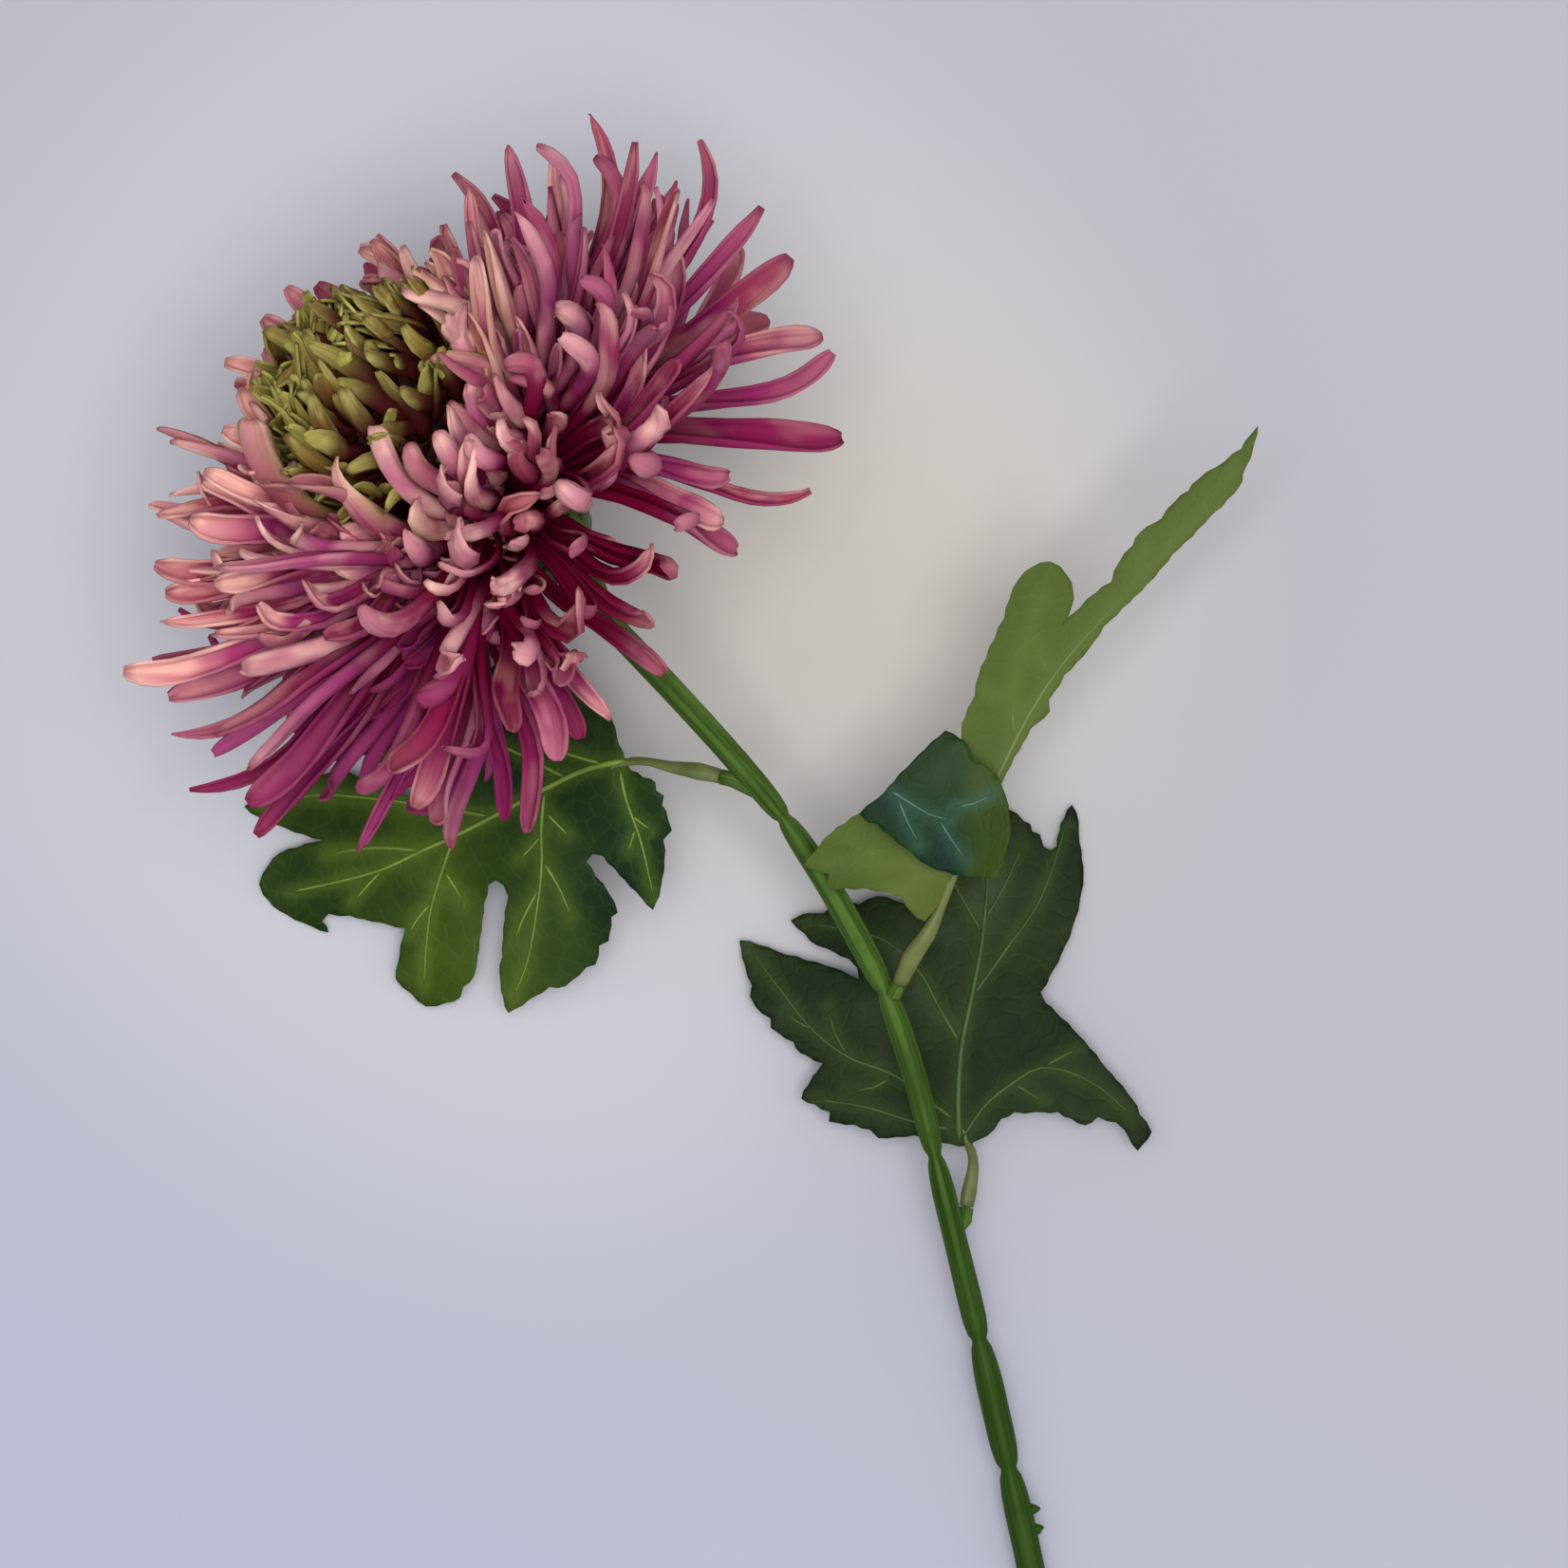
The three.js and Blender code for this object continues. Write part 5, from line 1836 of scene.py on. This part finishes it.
    def _stalk(self) -> None:
        """Makes the thin stalk with the thicker sleeve at the stem end."""
        made = Workpiece(self.name + "_stalk")
        points = from_spots(self.petiole)
        for point in points[-2:]:
            point.z = self.height(point) - self.petiole_sink
        curve = SmoothLine(points)
        spots = []
        for point in points:
            near = min(range(len(curve.samples)), key=lambda i: (curve.samples[i] - point).length)
            spots.append(curve.lengths[near])
        table = list(zip(spots, self.petiole_radii))
        count = int(curve.length / self.petiole_step)
        shares = [0, *(index / count for index in range(count + 1)), 1]
        stations = stations_along([curve.at(curve.length * share) for share in shares], UP)
        stations[0], stations[-1] = stations[1], stations[-2]

        def radius(row: int, angle: float) -> float:
            """Radius of the stalk, closed at both ends."""
            swell = 1 + self.petiole_rib_height * math.cos(self.petiole_ribs * angle)
            return 0 if row in (0, len(shares) - 1) else look_up(table, curve.length * shares[row]) * swell

        made.tube(stations, self.petiole_sides, radius)
        made.close()
        made.finish([self.stalk.build()], self.name, self.name)


@dataclass
class FoldedLeaf(Leaf):
    """Leaf that shows its pale underside, with one lobe turned over at a fold line."""

    fold: tuple[Pixel, Pixel] = ((905, 857), (995, 770))
    flap_gap: float = 0.25
    flap_rise: float = 4.2
    flap_bend: float = 5
    tinge_reach: tuple[float, float] = (27.5, 33)
    flap: tuple[Pixel, ...] = ()
    flap_veins: tuple[tuple[Pixel, ...], ...] = ()
    flap_vein_radii: tuple[float, float] = (0.3, 0.3)
    flap_face: BladeFinish | None = None
    flap_vein: PlainFinish | None = None

    def tinge(self, point: Vector) -> float:
        """Share of the second colour, which the turned-over lobe has on its right side."""
        return smooth(point.x, *self.tinge_reach)

    def flap_height(self, point: Vector) -> float:
        """Height of the turned-over lobe, rising away from the fold.

        Args:
            point: The point.

        Returns:
            The height of its middle over the table.
        """
        start, end = (from_photo(pixel, self.level) for pixel in self.fold)
        run = (end - start).normalized()
        away = max((point - start).dot(Vector((run.y, -run.x, 0))), 0)
        return (self.height(point) + self.flap_gap
                + self.flap_rise * (1 - math.exp(-away / self.flap_bend)))

    def build(self) -> None:
        """Makes the leaf and its turned-over lobe."""
        super().build()
        lines = self._lines(self.flap_veins)
        self.underside_up = False
        self.upper = self.flap_face or self.upper
        self._blade("flap", self.flap, lines, self.flap_height)
        self._veins("flap_veins", lines, self.flap_vein_radii, self.flap_height,
                    self.flap_vein or self.vein)


def distance_to(point: Vector, start: Vector, end: Vector) -> float:
    """Distance of a point from a segment, seen from above.

    Args:
        point: The point.
        start: Start of the segment.
        end: End of the segment.

    Returns:
        The distance.
    """
    run_x, run_y = end.x - start.x, end.y - start.y
    off_x, off_y = point.x - start.x, point.y - start.y
    share = min(max((off_x * run_x + off_y * run_y) / max(run_x * run_x + run_y * run_y, 1e-9), 0), 1)
    return math.hypot(off_x - run_x * share, off_y - run_y * share)


def boolean_intersect(first: bmesh.types.BMesh, second: bmesh.types.BMesh) -> bmesh.types.BMesh:
    """Keeps what two closed meshes share.

    Args:
        first: Mesh that is cut.
        second: Mesh that cuts it.

    Returns:
        The shared mesh.
    """
    objects = []
    for index, bm in enumerate((first, second)):
        mesh = bpy.data.meshes.new(f"cut_{index}")
        bm.to_mesh(mesh)
        bm.free()
        objects.append(bpy.data.objects.new(f"cut_{index}", mesh))
        bpy.context.scene.collection.objects.link(objects[-1])
    cut = objects[0].modifiers.new("cut", "BOOLEAN")
    cut.operation, cut.object, cut.solver = "INTERSECT", objects[1], "EXACT"
    view = bpy.context.evaluated_depsgraph_get()
    result = bmesh.new()
    result.from_mesh(objects[0].evaluated_get(view).to_mesh())
    for made in objects:
        mesh = made.data
        bpy.data.objects.remove(made)
        bpy.data.meshes.remove(mesh)
    bmesh.ops.remove_doubles(result, verts=result.verts, dist=0.01)
    result.normal_update()
    return result


def left_shape(along: float, side: float) -> float:
    """Height of the left leaf's blade.

    Args:
        along: Distance along the midrib.
        side: Distance to its left.

    Returns:
        The height over the table.
    """
    fall = 21 * max(1 - along / 66, 0) ** 1.25
    droop = 0.13 * (math.hypot(side, 4) - 4)
    wave = 0.7 * math.sin(along / 6.5) * math.sin(side / 9)
    return max(1.2 + fall - droop + wave, 0.45)


def lower_shape(along: float, side: float) -> float:
    """Height of the lower leaf's blade.

    Args:
        along: Distance along the midrib.
        side: Distance to its left.

    Returns:
        The height over the table.
    """
    fall = 6.4 * min(max(1 - along / 64, 0), 1.1) ** 1.5 * (1 - (side / 60) ** 2)
    arch = 2.4 * math.sin(math.pi * along / 64) * (1 - abs(side) / 38)
    wave = 0.5 * math.sin(along / 5) * math.sin(side / 8)
    return max(0.6 + fall + arch + wave, 0.45)


def folded_shape(along: float, side: float) -> float:
    """Height of the folded leaf's blade, at distances along the midrib and to its left."""
    return 26.6 + 0.14 * along + 0.22 * side + 0.6 * math.sin(along / 7) + 0.02 * (side - 8) ** 2


def left_leaf() -> Leaf:
    """Large glossy leaf under the bloom.

    Returns:
        The leaf.
    """
    return Leaf(
        name="leaf_left", base=(662, 803), tip=(271, 932), level=5,
        outline=(
            (662, 803), (668, 812), (680, 819), (693, 824), (694, 833), (702, 838), (700, 848),
            (706, 862), (710, 874), (701, 884), (702, 905), (698, 935), (690, 957), (672, 938),
            (650, 914), (638, 901), (627, 899), (620, 907), (630, 922), (644, 940), (653, 960),
            (646, 965), (643, 990), (633, 995), (629, 1015), (619, 1018), (597, 1038), (580, 1039),
            (558, 1053), (536, 1067), (531, 1052), (527, 1026), (530, 1008), (533, 968), (537, 944),
            (532, 932), (524, 927), (516, 932), (511, 952), (506, 990), (500, 1028), (488, 1040),
            (485, 1051), (470, 1057), (448, 1061), (432, 1047), (416, 1032), (421, 1005), (427, 978),
            (400, 972), (368, 965), (345, 963), (338, 971), (345, 983), (318, 973), (292, 960),
            (275, 943), (271, 932), (281, 912), (293, 899), (312, 893), (340, 885), (318, 879),
            (292, 870), (270, 861), (255, 850), (278, 838), (302, 826), (330, 820), (358, 811),
            (378, 819), (400, 827), (422, 836), (445, 846), (430, 822), (405, 806), (380, 792),
            (362, 796), (350, 778), (344, 755), (334, 735), (330, 712), (352, 704), (372, 690),
            (396, 694), (415, 688), (440, 702), (466, 722), (492, 752), (508, 738), (516, 712),
            (528, 698), (532, 678), (556, 664), (574, 680), (592, 688), (603, 710), (620, 722),
            (630, 744), (648, 760), (655, 785)),
        veins=(
            ((664, 801), (620, 811), (581, 829), (535, 853), (480, 881), (446, 896), (403, 916),
             (360, 928), (305, 940)),
            ((655, 806), (662, 841), (677, 884), (691, 945)),
            ((577, 831), (573, 871), (573, 911), (567, 960), (556, 1015), (541, 1052)),
            ((573, 905), (590, 932), (604, 965)),
            ((570, 935), (552, 968), (543, 992)),
            ((480, 881), (464, 926), (454, 960), (449, 1000), (446, 1040)),
            ((456, 950), (440, 968), (430, 985)),
            ((519, 860), (461, 850), (400, 842), (330, 838), (275, 849)),
            ((446, 896), (397, 893), (345, 900)),
            ((639, 806), (587, 787), (560, 750), (556, 690)),
            ((600, 820), (540, 790), (470, 760), (400, 735), (350, 718)),
            ((667, 858), (688, 874)), ((672, 872), (664, 896)), ((403, 916), (372, 950)),
            ((577, 855), (602, 880)), ((573, 880), (550, 905)), ((468, 915), (490, 950))),
        petiole=((758, 818, 28.4), (735, 813, 27.6), (705, 808, 26), (684, 803, 24.6), (662, 803, 22.6),
                 (632, 813, 20.4)),
        petiole_radii=(1.25, 1.48, 0.95, 0.7, 0.7, 0.45), peg=(806, 838, 28.6), shape=left_shape,
        tinge_share=0.75,
        upper=BladeFinish("leaf_left_top", shade(20, 42, 16), shade(64, 84, 16), shade(100, 124, 42),
                          0.45, 0.25, 0.36, shade(18, 42, 26)),
        lower=BladeFinish("leaf_left_under", shade(70, 92, 36), shade(86, 108, 44), shade(60, 80, 32),
                          0.62, 0.0),
        vein=PlainFinish("leaf_left_vein", shade(98, 124, 40), shade(122, 146, 56), 0.6),
        stalk=PlainFinish("leaf_left_stalk", shade(84, 98, 46), shade(104, 116, 58), 0.55))


def folded_leaf() -> FoldedLeaf:
    """Pale leaf on the right of the stem with one lobe turned over.

    Returns:
        The leaf.
    """
    return FoldedLeaf(
        name="leaf_folded", base=(1003, 924), tip=(1319, 453), level=28, underside_up=True,
        outline=(
            (1003, 924), (990, 950), (975, 971), (962, 963), (950, 945), (935, 940), (912, 936),
            (890, 936), (873, 937), (873, 921), (847, 912), (862, 892), (876, 877), (890, 867),
            (905, 857), (930, 836), (960, 803), (995, 770), (1012, 782), (1012, 770), (1016, 755),
            (1026, 733), (1030, 712), (1037, 695), (1046, 674), (1056, 653), (1061, 633), (1070, 613),
            (1084, 600), (1103, 594), (1114, 599), (1122, 609), (1128, 624), (1127, 640), (1118, 658),
            (1136, 641), (1152, 626), (1168, 615), (1176, 594), (1190, 577), (1198, 563), (1220, 549),
            (1234, 531), (1248, 520), (1258, 508), (1285, 490), (1302, 477), (1319, 453), (1314, 478),
            (1304, 503), (1300, 517), (1270, 548), (1232, 586), (1205, 618), (1180, 642), (1160, 662),
            (1145, 685), (1120, 712), (1104, 738), (1105, 750), (1085, 768), (1068, 798), (1050, 832),
            (1030, 875), (1012, 910)),
        veins=(
            ((1003, 924), (1028, 868), (1052, 815), (1085, 750), (1118, 700), (1160, 652), (1200, 608),
             (1250, 550), (1295, 500)),
            ((1068, 780), (1066, 730), (1078, 680), (1096, 630)),
            ((1003, 924), (960, 912), (915, 905), (870, 908)),
            ((975, 916), (955, 935), (945, 942)), ((930, 908), (900, 885), (885, 880)),
            ((1085, 750), (1068, 742), (1040, 730)), ((1110, 712), (1098, 700), (1086, 668)),
            ((1190, 618), (1196, 596), (1205, 580)), ((1240, 562), (1262, 545), (1280, 532))),
        flap=(
            (905, 857), (930, 836), (960, 803), (995, 770), (1016, 782), (1024, 800), (1048, 816),
            (1058, 838), (1063, 870), (1058, 900), (1048, 926), (1030, 922), (1012, 922), (996, 918),
            (976, 911), (956, 895), (938, 880), (924, 868), (914, 866)),
        flap_veins=(
            ((933, 830), (957, 845), (981, 859), (1002, 863)),
            ((944, 836), (953, 861), (969, 891)), ((987, 861), (1002, 885), (1017, 906)),
            ((1003, 850), (1026, 846), (1046, 835))),
        flap_face=BladeFinish("leaf_folded_top", shade(12, 36, 42), shade(30, 56, 20), shade(60, 96, 78),
                              0.5, 0.1, 0.5, shade(56, 74, 20)),
        flap_vein=PlainFinish("leaf_folded_top_vein", shade(66, 104, 88), shade(80, 118, 96), 0.6),
        petiole=((948, 1035, 21.2), (961, 1007, 23), (978, 983, 24.6), (990, 958, 25.6), (1003, 924, 26.6),
                 (1022, 880, 28)),
        peg=(937, 1047, 19.4), shape=folded_shape,
        upper=BladeFinish("leaf_folded_top_hidden", shade(24, 48, 36), shade(38, 62, 36), shade(72, 100, 54),
                          0.45, 0.3),
        lower=BladeFinish("leaf_folded_under", shade(72, 88, 38), shade(92, 108, 48), shade(108, 124, 66),
                          0.62, 0.0, 0.3, shade(84, 100, 46)),
        vein=PlainFinish("leaf_folded_vein", shade(96, 114, 50), shade(108, 124, 58), 0.55),
        stalk=PlainFinish("leaf_folded_stalk", shade(98, 108, 52), shade(118, 126, 66), 0.55))


def lower_leaf() -> Leaf:
    """Dark leaf behind the stem, flat on the table.

    Returns:
        The leaf.
    """
    return Leaf(
        name="leaf_lower", base=(1010, 1207), tip=(1018, 800), level=4,
        outline=(
            (1010, 1207), (1000, 1204), (985, 1199), (963, 1195), (925, 1198), (916, 1189), (900, 1184),
            (873, 1181), (874, 1171), (858, 1163), (844, 1157), (852, 1142), (867, 1120), (850, 1112),
            (838, 1104), (836, 1098), (812, 1083), (812, 1073), (796, 1061), (790, 1050), (792, 1038),
            (785, 1018), (779, 991), (800, 996), (828, 1006), (850, 1012), (876, 1019), (905, 1032),
            (903, 1020), (894, 1010), (872, 1000), (860, 996), (848, 984), (833, 970), (844, 964),
            (868, 962), (888, 950), (905, 953), (925, 944), (945, 950), (962, 958), (955, 930),
            (948, 905), (950, 888), (958, 872), (968, 858), (985, 836), (1000, 822), (1018, 800),
            (1034, 815), (1047, 836), (1062, 852), (1072, 857), (1079, 865), (1086, 868), (1088, 876),
            (1096, 879), (1100, 892), (1107, 896), (1114, 892), (1117, 876), (1122, 862), (1130, 848),
            (1135, 856), (1138, 888), (1142, 922), (1138, 950), (1130, 978), (1118, 1006), (1106, 1028),
            (1096, 1045), (1101, 1056), (1118, 1072), (1136, 1090), (1165, 1125), (1193, 1158),
            (1200, 1173), (1213, 1192), (1198, 1212), (1184, 1190), (1175, 1182), (1156, 1176), (1143, 1185),
            (1128, 1178), (1114, 1171), (1090, 1171), (1068, 1171), (1054, 1178), (1047, 1189),
            (1030, 1200), (1018, 1206)),
        veins=(
            ((1010, 1206), (1009, 1151), (1012, 1107), (1015, 1089), (1023, 1051), (1032, 1007),
             (1037, 970), (1040, 920), (1030, 860), (1020, 815)),
            ((1012, 1200), (1037, 1164), (1067, 1140), (1098, 1124), (1150, 1140), (1195, 1178)),
            ((1007, 1180), (982, 1162), (942, 1132), (895, 1114), (857, 1086), (820, 1040), (790, 1000)),
            ((1012, 1100), (989, 1061), (970, 1026), (930, 990), (850, 972)),
            ((1023, 1051), (1060, 1000), (1095, 950), (1124, 870)),
            ((1005, 1190), (960, 1180), (910, 1165), (860, 1158)),
            ((942, 1132), (920, 1145), (895, 1148)), ((895, 1114), (880, 1090), (872, 1060)),
            ((1098, 1124), (1120, 1112), (1136, 1104)), ((1067, 1140), (1085, 1152), (1100, 1160)),
            ((1037, 970), (1060, 930), (1078, 890)), ((1036, 985), (1010, 940), (985, 890)),
            ((857, 1086), (838, 1075), (826, 1066))),
        petiole=((1018, 1271, 9.9), (1020, 1258, 9.5), (1025, 1229, 8.8), (1024, 1216, 8.1),
                 (1020, 1206, 7.3), (1012, 1180, 6.5)),
        petiole_radii=(1.2, 1.35, 0.95, 0.78, 0.75, 0.45), peg=(1005, 1296, 11.9), shape=lower_shape,
        upper=BladeFinish("leaf_lower_top", shade(20, 34, 18), shade(40, 54, 24), shade(62, 84, 34),
                          0.5, 0.12, 0.4),
        lower=BladeFinish("leaf_lower_under", shade(66, 84, 36), shade(84, 104, 46), shade(58, 76, 32),
                          0.62, 0.0),
        vein=PlainFinish("leaf_lower_vein", shade(56, 76, 30), shade(70, 94, 38), 0.6),
        stalk=PlainFinish("leaf_lower_stalk", shade(86, 94, 48), shade(104, 110, 60), 0.55))


# Table, light and camera


@dataclass
class Studio:
    """Pale table with painted light on it, soft lights and the camera that looks straight down."""

    table_side: float = 3.0
    aim: Spot = (0.0, 0.08, 0.0)
    far: float = 20.0
    # table colours: cool ground, painted cool light low on the left, painted warm light, painted pool of
    # light round the bloom
    table: TableFinish = TableFinish(
        "table_top", shade(183, 183, 190), shade(182, 184, 203), shade(205, 200, 190), shade(203, 203, 210))
    lights: tuple[tuple[str, Spot, float, float, Colour], ...] = (
        ("key", (-0.7, 0.5, 1.5), 1.4, 2.6, (0.97, 0.98, 1.0)),
        ("fill", (1.1, -0.3, 1.0), 1.8, 3.4, (1.0, 0.96, 0.9)),
        ("above", (0.1, 0.0, 1.9), 1.2, 25.5, (1.0, 1.0, 1.0)),
    )
    sky: float = 0.37
    sky_colour: Colour = (0.93, 0.95, 1.0)

    def build(self) -> None:
        """Sets up the table, lights and camera."""
        self._floor()
        for name, place, size, power, colour in self.lights:
            self._light(name, Vector(place), size, power, colour)
        world = bpy.data.worlds.new("studio")
        world.use_nodes = True
        background = world.node_tree.nodes["Background"]
        background.inputs["Color"].default_value = (*self.sky_colour, 1.0)
        background.inputs["Strength"].default_value = self.sky
        bpy.context.scene.world = world
        bpy.context.scene.view_settings.view_transform = "Standard"
        self._camera()

    def _floor(self) -> None:
        """Lays the table top."""
        bm = bmesh.new()
        bmesh.ops.create_grid(bm, x_segments=4, y_segments=4, size=self.table_side / 2)
        mesh = bpy.data.meshes.new("table_top")
        bm.to_mesh(mesh)
        bm.free()
        mesh.materials.append(self.table.build())
        floor = bpy.data.objects.new("table_top", mesh)
        bpy.context.scene.collection.objects.link(floor)

    def _light(self, name: str, place: Vector, size: float, power: float, colour: Colour) -> None:
        """Adds a square soft light aimed at the flower.

        Args:
            name: Name of the light.
            place: Where it hangs, in metres.
            size: Side of the square.
            power: Watts.
            colour: Its colour.
        """
        lamp = bpy.data.lights.new(name, "AREA")
        lamp.size, lamp.energy, lamp.color = size, power, colour
        holder = bpy.data.objects.new(name, lamp)
        holder.location = place
        holder.rotation_euler = (Vector(self.aim) - place).to_track_quat("-Z", "Y").to_euler()
        bpy.context.scene.collection.objects.link(holder)

    def _camera(self) -> None:
        """Hangs the camera over the middle of the photograph's view."""
        camera = bpy.data.cameras.new("camera")
        camera.sensor_width = SENSOR
        camera.lens = SENSOR * CAMERA_HEIGHT / (PHOTO_SIZE * MM_PER_PIXEL)
        camera.clip_end = self.far
        holder = bpy.data.objects.new("camera", camera)
        holder.location = to_row(Vector((0, 0, CAMERA_HEIGHT)))
        bpy.context.scene.collection.objects.link(holder)
        bpy.context.scene.camera = holder


def write_sizes() -> None:
    """Brings the view layer up to date.
    """
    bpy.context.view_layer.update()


def main() -> None:
    """Builds the flower piece by piece, then the studio round it."""
    logging.basicConfig(level=logging.INFO, format="%(name)s: %(message)s")
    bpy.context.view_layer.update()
    leaves = [left_leaf(), folded_leaf(), lower_leaf()]
    stem = Stem()
    stem.build(leaves)
    for leaf in leaves:
        leaf.build()
    Calyx().build()
    RayHead(stem.line, leaves[0]).build()
    CentreHead().build()
    Studio().build()
    write_sizes()


if __name__ == "__main__":
    main()
